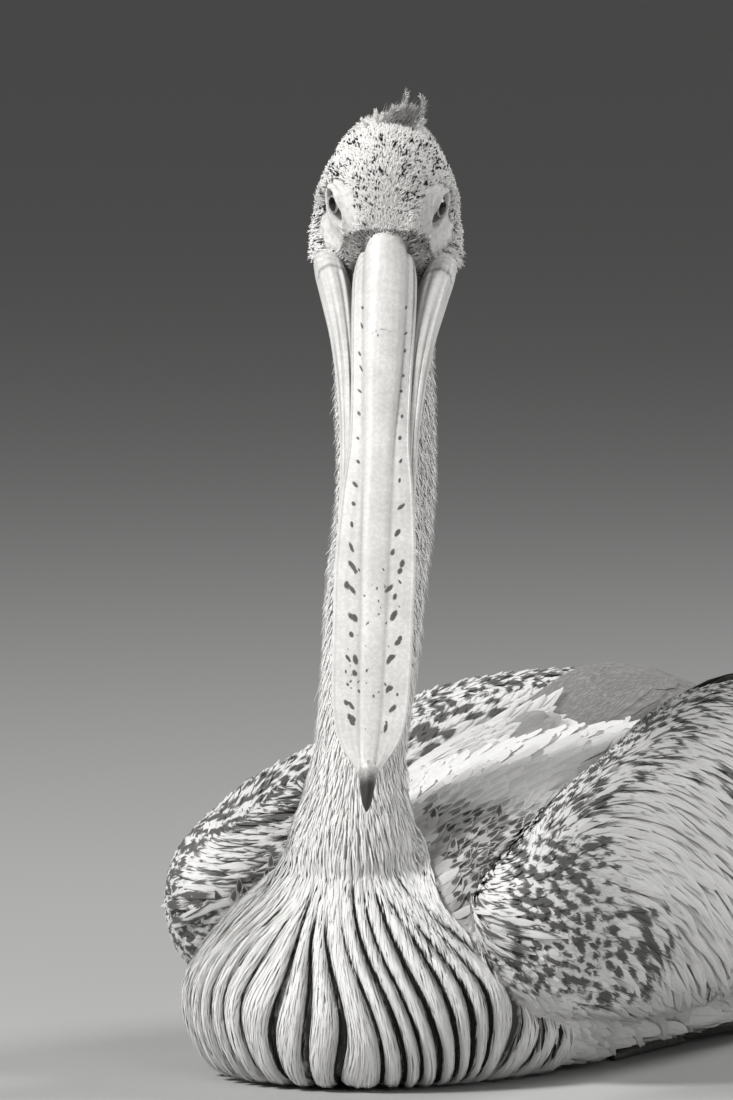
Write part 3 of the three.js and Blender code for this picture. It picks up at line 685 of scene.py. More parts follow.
# how naked each place on the head is, how dark its lores are, and if it is under the bill's root
def headLook(points):
    side, along, above = toHead(points)
    out, down = np.abs(side), downFace(along, above)
    inner, outer = np.interp(down, *headMarks["innerEdge"]), np.interp(down, *headMarks["outerEdge"])
    ellipse = ((along - 2) / 15)**2 + ((above + 1) / 10.5)**2
    onHead = points[:, 2] > .39
    within = np.minimum.reduce([out - inner, down + 13, 22 - down, above + 30, along + 9,
                                np.maximum(outer - out, (1 - ellipse) * 9)])
    naked = ease(within + .6 * wander(points, .0021, 9), -.8, .8) * onHead
    limit = np.interp(down, *headMarks["loresEdge"])
    lores = ease(along, 6, 9) * ease(above, 8, 4) * ease(out, 8, 12) * ease(out, 3 + limit, limit)
    lores = np.maximum(lores, ease(along, 17, 21) * ease(out, 9, 11))
    lores = lores * ease(down + .8 * wander(points, .0025, 4), *headMarks["loresTop"]) * (1 - naked) * onHead
    return naked, lores, (along > 23 + 4 * ease(out, 10, 13)) & onHead


def headSpecks(points):  # dark specks on the crown and cheeks
    side, along, above = toHead(points)
    out, down = np.abs(side), downFace(along, above)
    clumps = ease(wander(points, .0042, 1) + .6 * wander(points, .0019, 5), -.3, .8)
    crown = ease(down, 5, -4) * ease(down, -40, -30) * ease(out, 33, 27) * (.4 + .6 * ease(out, 1, 6))
    cheek = ease(out, 27, 31) * ease(above, -34, -26)
    fine = scattered(down + .4 * out, side, *headMarks["fine"], crown * (.1 + .62 * clumps) + .05, 7)
    coarse = scattered(down + .4 * out, side, *headMarks["coarse"], crown * clumps**2 * .45, 8)
    low = scattered(above * 1.1 + along * .3, along, *headMarks["cheek"], cheek * .45, 9)
    return np.maximum.reduce([fine, coarse * .9, low * .8]) * (points[:, 2] > .395)


# the breast's ridges and gaps, with how dark the painted shadow in the gaps is
breast = {"ridges": 60, "sweep": .34, "gapHalf": (.045, .185), "gapTop": (94, 164), "gapFoot": 26,
          "gapShadowDepth": .96, "crown": 3.3}
gapHalves = rng.uniform(*breast["gapHalf"], 300) * np.where(rng.random(300) < .2, .5, 1)
gapHalves = gapHalves * ease(np.abs(np.arange(300) - 150), 19, 14) * (1 + ease(np.arange(300), 149, 143))
gapTops = rng.uniform(*breast["gapTop"], 300)


def ridgeNumber(around, z):  # the ridge that a place is on, which a lock keeps as it runs down
    fan = around / (1 + breast["sweep"] * ease(z, 135, -5))
    fan = fan + .13 * (np.sqrt((fan - .1)**2 + .03) - (fan - .1))
    return (fan * breast["ridges"] / (2 * np.pi) + .28 * np.sin(fan * 6 + 1) + .11 * np.sin(fan * 17 + 2)
            + .32 * np.sin(z / 21 + fan * 7))


def gapReach(number, z):  # half the width of the gap beside a place, in ridge widths
    gap = np.floor(number).astype(int) + 150
    opening = .3 * ease(z, gapTops[gap], gapTops[gap] - 15) + .7 * ease(z, gapTops[gap], breast["gapFoot"])
    return gapHalves[gap] * opening


def breastRidges(points):
    # offset from the ridge, the gap's half width, the way round, a lock's drift going down, the ridge's width
    x, y, z = (points / mm).T
    _, centreX, centreY = bellAt(z)
    dx, dy = x - centreX, y - centreY
    radius = np.hypot(dx, dy)
    around = np.arctan2(dx, -dy)
    number = ridgeNumber(around, z)
    offset = number - np.round(number)
    half = gapReach(number, z)
    perAngle = (ridgeNumber(around + .002, z) - ridgeNumber(around - .002, z)) / .004
    perHeight = ridgeNumber(around, z + .5) - ridgeNumber(around, z - .5)
    closing = (gapReach(number, z - .5) - gapReach(number, z + .5)) * offset / (.5 - half)
    drift = radius / perAngle * (perHeight - closing)
    roundWay = np.stack([-dy, dx, np.zeros_like(dx)], -1) / radius[:, None]
    return offset, half, roundWay, drift, radius / perAngle


def gapShade(points):  # 1 in the gaps between the breast's ridges: painted shadow, partly the dark feathers deep in the gaps
    offset, half, _, _, width = breastRidges(points)
    z = points[:, 2] / mm
    inside = (np.abs(offset) - (.5 - half)) * width
    return ease(inside, -.9, .3) * ease(half * width, .06, .35) * ease(z, 156, 136)


def sideShade(points):  # painted shade greying each ridge's sides
    offset, half, _, _, width = breastRidges(points)
    fromGap = (np.abs(offset) - (.5 - half)) * width + .6 * np.sign(offset)
    return .42 * ease(fromGap, -3.4, -.2) * ease(half * width, .1, .9)


shoulderEdge = smoothTable([  # height, how far out it starts
    [60, 96], [66, 75], [75, 61], [83, 51], [92, 44], [101, 40], [110, 37], [118, 34], [126, 27],
    [134, 30], [145, 80], [160, 400],
])


def onShoulder(points):  # where the breast gives way to the mantle, nearer on the side the neck is turned to
    x, y, z = (points / mm).T
    start = shoulderEdge(z)[0]
    return (z > 66) & (z < 150) & np.where(x > 0, x * .79 + y * .62 > start, -x + .5 * y > start + 14)


def mantleShare(points):  # how much of each place is the mantle
    return onShoulder(points) * ease(points[:, 1] / mm, 82, 54) * ease(points[:, 2] / mm, 134, 123)


def bodyLook(points, feathers=False):
    # grey, dark marks and shaft streak at each place on the body, with where it is on a wing
    x, y, z = (points / mm).T
    side, wy, angle, share = inWing(points)
    turnDegrees = np.degrees(angle)
    outward = np.radians(108 - turnDegrees) * 58
    front = wy + 8
    edgeWay = -11 * np.log(np.exp(-front / 11 - 1e-9) + np.exp(-np.maximum(outward, 0) / 11) + 1e-9)
    onWing = (share < 1.1) | feathers
    inner = onWing & (turnDegrees > 108)
    patchy = .5 + .5 * wander(points, .016, 3)
    slope = featherSlope(wy)
    run = np.interp(wy, slopeStations, slopeRun)
    over = (outward - np.interp(wy, slopeStations, slopeFall)) * np.cos(slope)
    low = ease(z, 98, 84) * ease(front, 165, 130)
    band = ease(edgeWay, 74, 46) * (1 - low)
    dashes = np.maximum(scattered(run, over, *wingMarks["dashes"]),
                        .85 * scattered(run, over, *wingMarks["shortDashes"]) * ease(edgeWay, 40, 10))
    blots = np.maximum(scattered(run, over, *wingMarks["blots"]),
                       scattered(run, over, *wingMarks["largeBlots"]) * ease(front, 30, 60))
    blots = blots * low * ease(z, 26, 46) * ease(front, 112, 84)
    longDashes = scattered(run, over, *wingMarks["longDashes"]) * ease(edgeWay, 50, 80) \
        * ease(edgeWay, 210, 140) * ease(front, 90, 150) * (1 - low)
    outerMarks = np.maximum.reduce([dashes * band, blots, longDashes * .8])
    cap = ease(wy, 40, 20)
    aroundCap = np.abs(x) - 91 + .75 * (wy + 4)
    capRun, capOver = aroundCap - .35 * z, z + .35 * aroundCap
    capMarks = np.maximum(scattered(capRun, capOver, *wingMarks["cap"]),
                          .9 * scattered(capRun, capOver, *wingMarks["capBlots"])) * ease(aroundCap, 6, 14)
    capDots = scattered(capRun, capOver, *wingMarks["capDots"]) * ease(aroundCap, 14, 6)
    capMarks = np.maximum(capMarks, capDots) * ease(z, 34, 56)
    outerMarks = outerMarks * (1 - cap) + cap * capMarks
    innerMarks = scattered(wy - outward * .3, outward, *wingMarks["inner"]) * ease(-outward, 52, 12)
    innerDots = scattered(wy - outward * .3, outward, *wingMarks["innerDots"]) * ease(-outward, 74, 50) \
        * ease(front, 170, 110)
    innerMarks = np.maximum(innerMarks, innerDots)
    innerMarks = innerMarks * (1 - cap) + cap * capMarks
    marked = np.where(onWing, np.where(inner, innerMarks, outerMarks), 0) * (.75 + .35 * patchy)
    grey = np.where(onWing, .03 + .1 * patchy, .03)
    underside = onWing & ~inner
    grey = np.where(underside, np.maximum(grey, ease(z, 44, 28) * ease(front, 190, 120) * .3), grey)
    grey = np.maximum(grey, np.maximum(blots * .3, low * ease(front, 70, 110) * patchy * .3) * underside)
    streak = np.where(onWing, .1 + .5 * ease(edgeWay, 40, 90), .2)
    mantle = mantleShare(points) * ~onWing
    marked = np.maximum(marked, mantle * (.2 + .3 * patchy))
    grey = np.maximum(grey, mantle * .6)
    rearQuills = ease(y, 330, 420) * ease(z, 40, 80)
    grey = np.maximum(grey, rearQuills * .45)
    return np.clip(grey, 0, 1), np.clip(marked, 0, 1), np.clip(streak, 0, 1), edgeWay, onWing, inner


def maths(tree, operation, *values, clamp=False):
    node = tree.nodes.new("ShaderNodeMath")
    node.operation, node.use_clamp = operation, clamp
    for socket, value in zip(node.inputs, values):
        if isinstance(value, (int, float)):
            socket.default_value = value
        else:
            tree.links.new(value, socket)
    return node.outputs[0]


def blend(tree, share, first, second):  # a colour between two colours
    node = tree.nodes.new("ShaderNodeMix")
    node.data_type, node.clamp_factor = "RGBA", True
    for socket, value in ((node.inputs[0], share), (node.inputs[6], first), (node.inputs[7], second)):
        if isinstance(value, (int, float)):
            socket.default_value = value
        elif isinstance(value, tuple):
            socket.default_value = (*value, 1)
        else:
            tree.links.new(value, socket)
    return node.outputs[2]


def ramp(tree, value, low, high):  # 0 below low, 1 above high
    node = tree.nodes.new("ShaderNodeMapRange")
    node.interpolation_type = "SMOOTHSTEP"
    tree.links.new(value, node.inputs["Value"])
    start, end = (0, 1) if low < high else (1, 0)
    for title, number in (("From Min", min(low, high)), ("From Max", max(low, high)),
                          ("To Min", start), ("To Max", end)):
        node.inputs[title].default_value = number
    return node.outputs["Result"]


def reading(tree, name, output="Fac"):
    node = tree.nodes.new("ShaderNodeAttribute")
    node.attribute_name = name
    return node.outputs[output]


def noise(tree, vector, scale, detail=2, roughness=.5):
    node = tree.nodes.new("ShaderNodeTexNoise")
    node.inputs["Scale"].default_value, node.inputs["Detail"].default_value = scale, detail
    node.inputs["Roughness"].default_value = roughness
    tree.links.new(vector, node.inputs["Vector"])
    return node.outputs["Fac"]


def objectPlace(tree):
    return tree.nodes.new("ShaderNodeTexCoord").outputs["Object"]


def newGroup(name, ins, outs):
    group = bpy.data.node_groups.new(name, "ShaderNodeTree")
    for title in ins:
        group.interface.new_socket(title, in_out="INPUT", socket_type="NodeSocketFloat")
    for title in outs:
        group.interface.new_socket(title, in_out="OUTPUT", socket_type="NodeSocketFloat")
    return group, group.nodes.new("NodeGroupInput"), group.nodes.new("NodeGroupOutput")


# the markings along a feather's vane: fibres, a patch at the centre, the shaft's streak, and painted shade at
# the root, partly the feather's own darker base
vaneGroup, vaneIn, vaneOut = newGroup("vane", ["Fibre Width", "Patch Width", "Streak Width"],
                                      ["Fibre", "Patch", "Streak", "Root"])
uvNode = vaneGroup.nodes.new("ShaderNodeUVMap")
uvNode.uv_map = "vane"
splitUv = vaneGroup.nodes.new("ShaderNodeSeparateXYZ")
vaneGroup.links.new(uvNode.outputs[0], splitUv.inputs[0])
spanNode = vaneGroup.nodes.new("ShaderNodeAttribute")
spanNode.attribute_name = "span"
splitSpan = vaneGroup.nodes.new("ShaderNodeSeparateXYZ")
vaneGroup.links.new(spanNode.outputs["Vector"], splitSpan.inputs[0])
acrossVane, alongVane = splitUv.outputs[0], splitUv.outputs[1]
fromShaft = maths(vaneGroup, "ABSOLUTE", maths(vaneGroup, "SUBTRACT", acrossVane, .5))
fibreVector = vaneGroup.nodes.new("ShaderNodeCombineXYZ")
slant = maths(vaneGroup, "SUBTRACT", maths(vaneGroup, "MULTIPLY", alongVane, splitSpan.outputs[1]),
              maths(vaneGroup, "MULTIPLY", fromShaft,
                    maths(vaneGroup, "MULTIPLY", splitSpan.outputs[0], 2.2)))
acrossFibres = maths(vaneGroup, "DIVIDE", maths(vaneGroup, "MULTIPLY", acrossVane, splitSpan.outputs[0]),
                     vaneIn.outputs["Fibre Width"])
for i, value in enumerate((acrossFibres, maths(vaneGroup, "MULTIPLY", slant, .16),
                           maths(vaneGroup, "MULTIPLY", splitSpan.outputs[2], 91))):
    vaneGroup.links.new(value, fibreVector.inputs[i])
fibre = noise(vaneGroup, fibreVector.outputs[0], 1, 2, .6)
wobble = maths(vaneGroup, "MULTIPLY", maths(vaneGroup, "SUBTRACT", fibre, .5), .55)
patchWidth = maths(vaneGroup, "MULTIPLY", vaneIn.outputs["Patch Width"],
                   maths(vaneGroup, "SUBTRACT", 1.15,
                         maths(vaneGroup, "MULTIPLY", reading(vaneGroup, "slim"), .75)))
patchAcross = maths(vaneGroup, "POWER", maths(vaneGroup, "DIVIDE", fromShaft, patchWidth), 2)
patchAlong = maths(vaneGroup, "POWER",
                   maths(vaneGroup, "DIVIDE", maths(vaneGroup, "SUBTRACT", alongVane, .76), .24), 2)
patchShape = maths(vaneGroup, "ADD",
                   maths(vaneGroup, "SUBTRACT", 1, maths(vaneGroup, "ADD", patchAcross, patchAlong)),
                   maths(vaneGroup, "MULTIPLY", wobble, 4.5))
streakEdge = maths(vaneGroup, "ADD", maths(vaneGroup, "SUBTRACT", vaneIn.outputs["Streak Width"], fromShaft),
                   maths(vaneGroup, "MULTIPLY", wobble, .16))
streakEnds = maths(vaneGroup, "MULTIPLY", ramp(vaneGroup, alongVane, .12, .4),
                   ramp(vaneGroup, alongVane, .99, .82))
for title, value in (
        ("Fibre", fibre), ("Patch", ramp(vaneGroup, patchShape, -.05, .5)),
        ("Streak", maths(vaneGroup, "MULTIPLY", ramp(vaneGroup, streakEdge, 0, .035), streakEnds)),
        ("Root", ramp(vaneGroup, alongVane, .5, .05))):
    vaneGroup.links.new(value, vaneOut.inputs[title])


def newMaterial(name, roughness, **sockets):
    material = bpy.data.materials.new(name)
    material.use_nodes = True
    shader = material.node_tree.nodes["Principled BSDF"]
    shader.inputs["Roughness"].default_value = roughness
    for title, value in sockets.items():
        shader.inputs[title].default_value = value
    return material, material.node_tree, shader


def bump(tree, shader, height, strength, distance):
    node = tree.nodes.new("ShaderNodeBump")
    node.inputs["Strength"].default_value, node.inputs["Distance"].default_value = strength, distance
    tree.links.new(height, node.inputs["Height"])
    tree.links.new(node.outputs[0], shader.inputs["Normal"])


def featherMaterial(name, look):
    material, tree, shader = newMaterial(name, look["roughness"], **{"Specular IOR Level": .25})
    vane = tree.nodes.new("ShaderNodeGroup")
    vane.node_tree = vaneGroup
    for title, key in (("Fibre Width", "fibre"), ("Patch Width", "patch"), ("Streak Width", "streak")):
        vane.inputs[title].default_value = look[key]
    colour = blend(tree, reading(tree, "grey"), look["pale"], look["greyed"])
    shade = maths(tree, "MULTIPLY", ramp(tree, vane.outputs["Fibre"], .56, .3), look["fibreDepth"])
    colour = blend(tree, shade, colour, look["shade"])
    # painted shade at each feather's root from the feathers lying over it, partly the feather's own darker
    # base
    colour = blend(tree, maths(tree, "MULTIPLY", vane.outputs["Root"], look["rootShadeDepth"]), colour,
                   look["root"])
    frayed = maths(tree, "MULTIPLY", maths(tree, "SUBTRACT", vane.outputs["Fibre"], .5), look["fraying"])
    # the marks, and on the breast's locks the painted shadow in the gaps between the ridges
    blotch = ramp(tree, maths(tree, "ADD", reading(tree, "blotch"), frayed), .3, .7)
    colour = blend(tree, maths(tree, "MULTIPLY", blotch, look["markDepth"]), colour, look["dark"])
    heart = maths(tree, "MULTIPLY", vane.outputs["Patch"], reading(tree, "heart"), clamp=True)
    colour = blend(tree, heart, colour, look["heart"])
    streaks = maths(tree, "MULTIPLY", vane.outputs["Streak"], reading(tree, "shaft"), clamp=True)
    colour = blend(tree, streaks, colour, look["dark"])
    tree.links.new(colour, shader.inputs["Base Color"])
    bump(tree, shader, vane.outputs["Fibre"], look["relief"], .0006)
    return material


# root is the colour of the painted shade at each feather's root, partly its darker base
plushLook = {"pale": (.9, .89, .87), "greyed": (.028, .027, .026), "shade": (.62, .61, .59),
             "root": (.42, .41, .4), "dark": (.012, .0115, .011), "heart": (.1, .098, .095), "fibre": .35,
             "fibreDepth": .4, "rootShadeDepth": .7, "patch": .3, "streak": .05, "relief": .2, "roughness": .8,
             "fraying": .6, "markDepth": 1}
lockLook = {"pale": (.9, .895, .88), "greyed": (.12, .117, .115), "shade": (.58, .57, .56),
            "root": (.6, .59, .58), "dark": (.014, .0135, .013), "heart": (.1, .098, .095), "fibre": .5,
            "fibreDepth": .35, "rootShadeDepth": .2, "patch": .3, "streak": .07, "relief": .2, "roughness": .75,
            "fraying": .5, "markDepth": 1}
wingLook = {"pale": (.88, .875, .86), "greyed": (.13, .127, .123), "shade": (.6, .59, .58),
            "root": (.5, .49, .48), "dark": (.05, .048, .047), "heart": (.075, .073, .07), "fibre": .55,
            "fibreDepth": .4, "rootShadeDepth": .35, "patch": .36, "streak": .06, "relief": .3,
            "roughness": .66, "fraying": 1.2, "markDepth": .9}
plushPaint, lockPaint = featherMaterial("plushPaint", plushLook), featherMaterial("lockPaint", lockLook)
wingPaint = featherMaterial("wingPaint", wingLook)

# the bare skin's crease colour is painted shade, and is also the pale mottling on the lores; its edge colour
# is painted shadow under the feathers
skinLook = {"feathered": (.7, .69, .68), "dark": (.018, .017, .016), "bare": (.74, .725, .71),
            "foldShadeAndMottle": (.56, .545, .53), "edgeShadow": (.22, .215, .21), "lores": (.085, .082, .08),
            "roughness": .62}
skinGrey, skinBlotch, _, _, skinOnWing, _ = bodyLook(skinPoints)
skinNaked, skinLores, skinFront = headLook(skinPoints)
onBreast = (skinPoints[:, 1] < .1) & (skinPoints[:, 2] < .15) & ~skinOnWing
# painted shadow in the gaps between the breast's ridges, partly their dark underfeathers
gaps = np.where(onBreast, gapShade(skinPoints), 0)
underHead = ease(skinPoints[:, 2] / mm, 386, 400) * (1 - np.maximum(skinNaked, skinLores))
underHead *= np.maximum(.1 + .9 * headSpecks(skinPoints), .8 * skinFront)
skinDark = np.maximum.reduce([skinBlotch * .8, skinGrey * .7, gaps * breast["gapShadowDepth"], underHead])
for key, value in (("dark", np.clip(skinDark, 0, 1)), ("bare", skinNaked), ("lores", skinLores)):
    setValues(skin.data, key, value)
skinPaint, tree, shader = newMaterial("skinPaint", skinLook["roughness"])
place = objectPlace(tree)
colour = blend(tree, reading(tree, "dark"), skinLook["feathered"], skinLook["dark"])
# bare skin: painted shade in its fine creases and in broad soft patches, and painted shadow along its edge
creases = noise(tree, place, 420, 4, .6)
bareColour = blend(tree, ramp(tree, creases, .3, .56), skinLook["foldShadeAndMottle"], skinLook["bare"])
bareColour = blend(tree, ramp(tree, noise(tree, place, 130, 3, .55), .5, .75), bareColour, skinLook["foldShadeAndMottle"])
bareColour = blend(tree, ramp(tree, reading(tree, "bare"), .96, .4), bareColour, skinLook["edgeShadow"])
colour = blend(tree, reading(tree, "bare"), colour, bareColour)
loresColour = blend(tree, ramp(tree, noise(tree, place, 900, 3, .7), .5, .8), skinLook["lores"],
                    skinLook["foldShadeAndMottle"])
colour = blend(tree, reading(tree, "lores"), colour, loresColour)
tree.links.new(colour, shader.inputs["Base Color"])
bump(tree, shader, creases, .35, .0004)
skin.data.materials.append(skinPaint)

# radii in millimetres at which each ring of the eye's front begins and is complete
eyeLook = {"iris": (3.5, 3.7), "rim": (4.5, 4.7), "white": (5, 5.5), "facing": (.86, .39, .33),
           "bulge": .5, "pupilColour": (.002, .002, .002),
           "irisColours": ((.2, .19, .18), (.42, .405, .38)), "rimColour": (.018, .0175, .017),
           "whiteColours": ((.05, .049, .047), (.1, .098, .095))}
wet = {"Coat Weight": .5, "Coat Roughness": .02, "Specular IOR Level": .2}
eyePaint, tree, shader = newMaterial("eyePaint", .3, **wet)
gazeParts = tree.nodes.new("ShaderNodeSeparateXYZ")
tree.links.new(reading(tree, "gaze", "Vector"), gazeParts.inputs[0])
fromPupil = maths(tree, "SQRT", maths(tree, "ADD", maths(tree, "POWER", gazeParts.outputs[0], 2),
                                      maths(tree, "POWER", gazeParts.outputs[1], 2)))
behind = maths(tree, "MULTIPLY", maths(tree, "LESS_THAN", gazeParts.outputs[2], 0), 20)
fromPupil = maths(tree, "ADD", fromPupil, behind)
threads = noise(tree, objectPlace(tree), 900, 3, .6)
irisColour = blend(tree, ramp(tree, threads, .35, .7), *eyeLook["irisColours"])
whiteColour = blend(tree, ramp(tree, threads, .3, .7), *eyeLook["whiteColours"])
colour = blend(tree, ramp(tree, fromPupil, *eyeLook["iris"]), eyeLook["pupilColour"], irisColour)
colour = blend(tree, ramp(tree, fromPupil, *eyeLook["rim"]), colour, eyeLook["rimColour"])
colour = blend(tree, ramp(tree, fromPupil, *eyeLook["white"]), colour, whiteColour)
tree.links.new(colour, shader.inputs["Base Color"])

for name, sign in (("eye_left", 1), ("eye_right", -1)):
    bm = bmesh.new()
    bmesh.ops.create_uvsphere(bm, u_segments=96, v_segments=96, radius=pose["eyeRadius"])
    for v in bm.verts:
        tilt = v.co.angle(Vector((0, 0, 1)), 0)
        if v.co.z > 0:
            v.co *= 1 + eyeLook["bulge"] / pose["eyeRadius"] * math.exp(-(tilt / .42)**4)
    ball = asObject(bm, name + "_ball")
    gaze = np.array(eyeLook["facing"]) * [sign, 1, 1]
    gazeWorld = Vector(unit(fromHead(gaze[0], gaze[1], gaze[2]) - fromHead(0, 0, 0)).tolist())
    centre = fromHead(sign * pose["eyeOut"], pose["eyeAlong"], pose["eyeAbove"])
    ball.data.transform(Matrix.Diagonal((mm, mm, mm, 1)))
    setVectors(ball.data, "gaze", verts(ball.data) / mm)
    gazeTurn = gazeWorld.to_track_quat("Z", "Y").to_matrix().to_4x4()
    ball.data.transform(Matrix.Translation(Vector(centre) * mm) @ gazeTurn)
    ball.data.materials.append(eyePaint)
    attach(ball, "root")
    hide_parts(name)

upperBillRows = [  # along, half width, culmen, edge and underside heights, ridge's half width
    [12, 14, 11.4, -9, -12, 9], [16, 15, 12, -9, -13, 9.6], [26, 15.8, 11.6, -9, -13, 9.9],
    [53, 16.1, 7.8, -8.5, -11.5, 9.7], [100, 15, 3.7, -6.5, -9, 8.3], [135, 15, 1.5, -5.5, -7.5, 6.5],
    [165, 17.8, 0, -5, -6.8, 6], [200, 19.7, -1.5, -5, -6.5, 5.5], [236, 19.6, -2.5, -5, -6.5, 5],
    [275, 18.9, -3.2, -5, -6.6, 4.5], [290, 17.6, -3.4, -5, -6.8, 4.2], [300, 15.6, -3.6, -5.2, -7, 3.8],
    [308, 11.9, -4, -6, -8, 3.6], [314, 8, -4.6, -7.2, -9.2, 3.2], [318, 5.2, -5.6, -8.4, -10.2, 2.4],
    [321, 2.6, -6.6, -9.4, -10.8, 1.2], [323, .6, -8, -9.6, -10.6, .3],
]
nailRows = [  # along, half width, lowest and highest
    [311, .8, -8, -6], [313.5, 3.2, -10, -4.8], [317, 4.7, -12, -4.6], [321, 4.2, -13.8, -5.6],
    [326, 3.3, -16, -7.6], [331, 2.3, -18.4, -10.8], [334, .6, -19.4, -16.6],
]
mandibleRows = [  # along, centre's spread and height, half width and height
    [12, 30.2, -27.6, 1.5, 2], [14, 29.8, -27, 5, 6], [18, 28.8, -25.8, 6.8, 8.6], [26, 27, -23.8, 7.8, 10],
    [42, 23.6, -21, 7.7, 9.9], [70, 19.6, -17.2, 6, 8.7], [100, 16.8, -14.6, 4.7, 7.1],
    [140, 15, -12.6, 3.7, 5.5], [190, 15.4, -11, 3.3, 4.3], [240, 15.2, -10.4, 3.1, 3.7],
    [280, 11.4, -10.2, 2.9, 3.3], [302, 5.4, -10.2, 2.9, 3.1], [312, 1, -10.5, .8, 1],
]
pouchRows = [  # along, half width at the mandible, top's height, lowest point, half width at the bottom
    [0, 3, -30, -36, 3], [6, 24, -24, -44, 12], [24, 27, -22, -50, 13], [55, 23, -18, -63, 12],
    [84, 18, -15, -72, 9], [104, 15.5, -13, -64, 6.5], [134, 13.5, -11.5, -45, 5],
    [180, 13, -10.5, -28, 4.5], [230, 13, -10, -19.5, 4.5], [275, 9.5, -10, -15, 3.6],
    [296, 5, -10.2, -13.2, 2.4], [304, .6, -11, -12, .6],
]
upperBillAt, nailAt = smoothTable(upperBillRows), smoothTable(nailRows)
mandibleAt, pouchAt = smoothTable(mandibleRows), smoothTable(pouchRows)


def upperBillShape(t, angle):
    along = station(upperBillRows, t)
    half, top, edge, under, ridge = upperBillAt(along)
    q = np.clip(np.cos(angle), -1, 1)
    q = np.sign(q) * np.abs(q)**.82
    a, brim = np.abs(q), np.abs(ridge / half)
    slope = ease(a, brim + .16, brim - .14)
    beside = 4.5 + 4 * ease(a, brim, brim + .1) - 3 * ease(a, brim + .1, brim + .25) + 9 * ease(a, .75, 1)
    along = along + ease(along, 46, 14) * (4.5 * (a / brim)**2 * (a < brim) + (a >= brim) * beside)
    flank = .64 * (1 - a**2.6) * (1 - .12 * ease(a, .8, .5))
    groove = .085 * np.exp(-((a - brim - .05) / .055)**2)
    rim = .1 * np.exp(-((a - .95) / .035)**2)
    rise = flank + .36 * slope * (1 - .3 * np.minimum(a / brim, 1)**2) - groove + rim
    upper = edge + (top - edge) * np.clip(rise, 0, 1.1)
    fine = .04 * np.sin(a * 31 + 1.4 * np.sin(along * .05)) \
        + .06 * np.sin(along * .9 + 4 * np.sin(along * .11) + a * 3)
    lower = edge + (under - edge) * (1 - a**3) + 1.2 * (1 - a**2)
    above = np.where(np.sin(angle) > 0, upper + fine * (1 - a**6), lower)
    return fromHead(half * q, along, above)


def nailShape(t, angle):
    along = station(nailRows, t)
    half, low, high = nailAt(along)
    up = np.sin(angle)
    ridge = np.where(up > 0, 1 + .1 * np.exp(-(np.cos(angle) / .25)**2), 1)
    return fromHead(half * np.cos(angle), along, (low + high) / 2 + (high - low) / 2 * up * ridge)


def mandibleShape(sign):
    def shape(t, angle):
        along = station(mandibleRows, t)
        spread, height, halfWidth, halfHeight = mandibleAt(along)
        c, s = superellipse(angle, 2.4)
        front = ease(along, 12, 22)
        grooves = .42 * np.sin(angle * 9 + .8 * np.sin(along * .045)) \
            + .22 * np.sin(angle * 21 + along * .02 + 1)
        grooves = grooves * (1 - .8 * ease(along, 32, 20)) * ease(along, 330, 180) * front
        arcs = .26 * np.sin(along * 1.5 + 2.4 * np.sin(angle) + np.sin(angle * 5))
        arcs = arcs * ease(along, 30, 20) * ease(along, 10, 15)
        swell = 1 + (grooves + arcs * .75) / np.maximum(halfHeight, 2)
        acrossHead = np.maximum(spread + halfWidth * c * swell, .2)
        return fromHead(sign * acrossHead, along, height + halfHeight * s * swell)
    return shape


def pouchShape(t, angle):
    along = station(pouchRows, t)
    topHalf, top, low, lowHalf = pouchAt(along)
    down = (1 - np.sin(angle)) / 2
    half = lowHalf + (topHalf - lowHalf) * (1 - down)**1.3
    folds = .6 * np.sin(down * 26 + .035 * along * down) * ease(down, .05, .3)
    folds = folds + .25 * np.sin(along * .5 + down * 9)
    return fromHead((half + folds * .6) * np.cos(angle) * (1 + .25 * down), along, top + (low - top) * down)


def hardPiece(name, node, mesh):
    piece = asObject(mesh, name)
    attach(piece, "root")
    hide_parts(node)
    return piece


def hornMaterial(name, look):
    glaze = {"Coat Weight": look["coat"], "Coat Roughness": .35}
    material, tree, shader = newMaterial(name, look["roughness"], **glaze)
    place = objectPlace(tree)
    broad, fine = noise(tree, place, look["broad"], 3), noise(tree, place, look["fine"], 4, .65)
    colour = blend(tree, ramp(tree, broad, .35, .7), look["pale"], look["tint"])
    colour = blend(tree, maths(tree, "MULTIPLY", ramp(tree, fine, .62, .4), look["grain"]), colour,
                   look["shade"])
    colour = blend(tree, reading(tree, "furrow"), colour, look["shade"])
    spotEdge = maths(tree, "ADD", reading(tree, "spots"),
                     maths(tree, "MULTIPLY", maths(tree, "SUBTRACT", fine, .5), .9))
    colour = blend(tree, ramp(tree, spotEdge, .02, .4), colour, look["dark"])
    tree.links.new(colour, shader.inputs["Base Color"])
    bump(tree, shader, fine, .2, .0005)
    return material


billLook = {"pale": (.8, .79, .77), "tint": (.7, .69, .67), "shade": (.3, .29, .28),
            "dark": (.1, .096, .092), "broad": 60, "fine": 480, "grain": .22, "coat": .04,
            "roughness": .56}
nailLook = {"pale": (.78, .77, .75), "tint": (.62, .61, .59), "shade": (.045, .043, .041),
            "dark": (.04, .038, .036), "broad": 120, "fine": 600, "grain": .4, "coat": .1,
            "roughness": .45}
pouchLook = {"pale": (.5, .485, .47), "tint": (.36, .35, .34), "shade": (.2, .19, .185),
             "dark": (.09, .087, .084), "broad": 90, "fine": 380, "grain": .6, "coat": .1,
             "roughness": .55}
footLook = {"pale": (.2, .19, .18), "tint": (.12, .115, .11), "shade": (.05, .048, .046),
            "dark": (.03, .029, .028), "broad": 150, "fine": 700, "grain": .7, "coat": .1, "roughness": .5}
billPaint, nailPaint = hornMaterial("billPaint", billLook), hornMaterial("nailPaint", nailLook)
pouchPaint, footPaint = hornMaterial("pouchPaint", pouchLook), hornMaterial("footPaint", footLook)


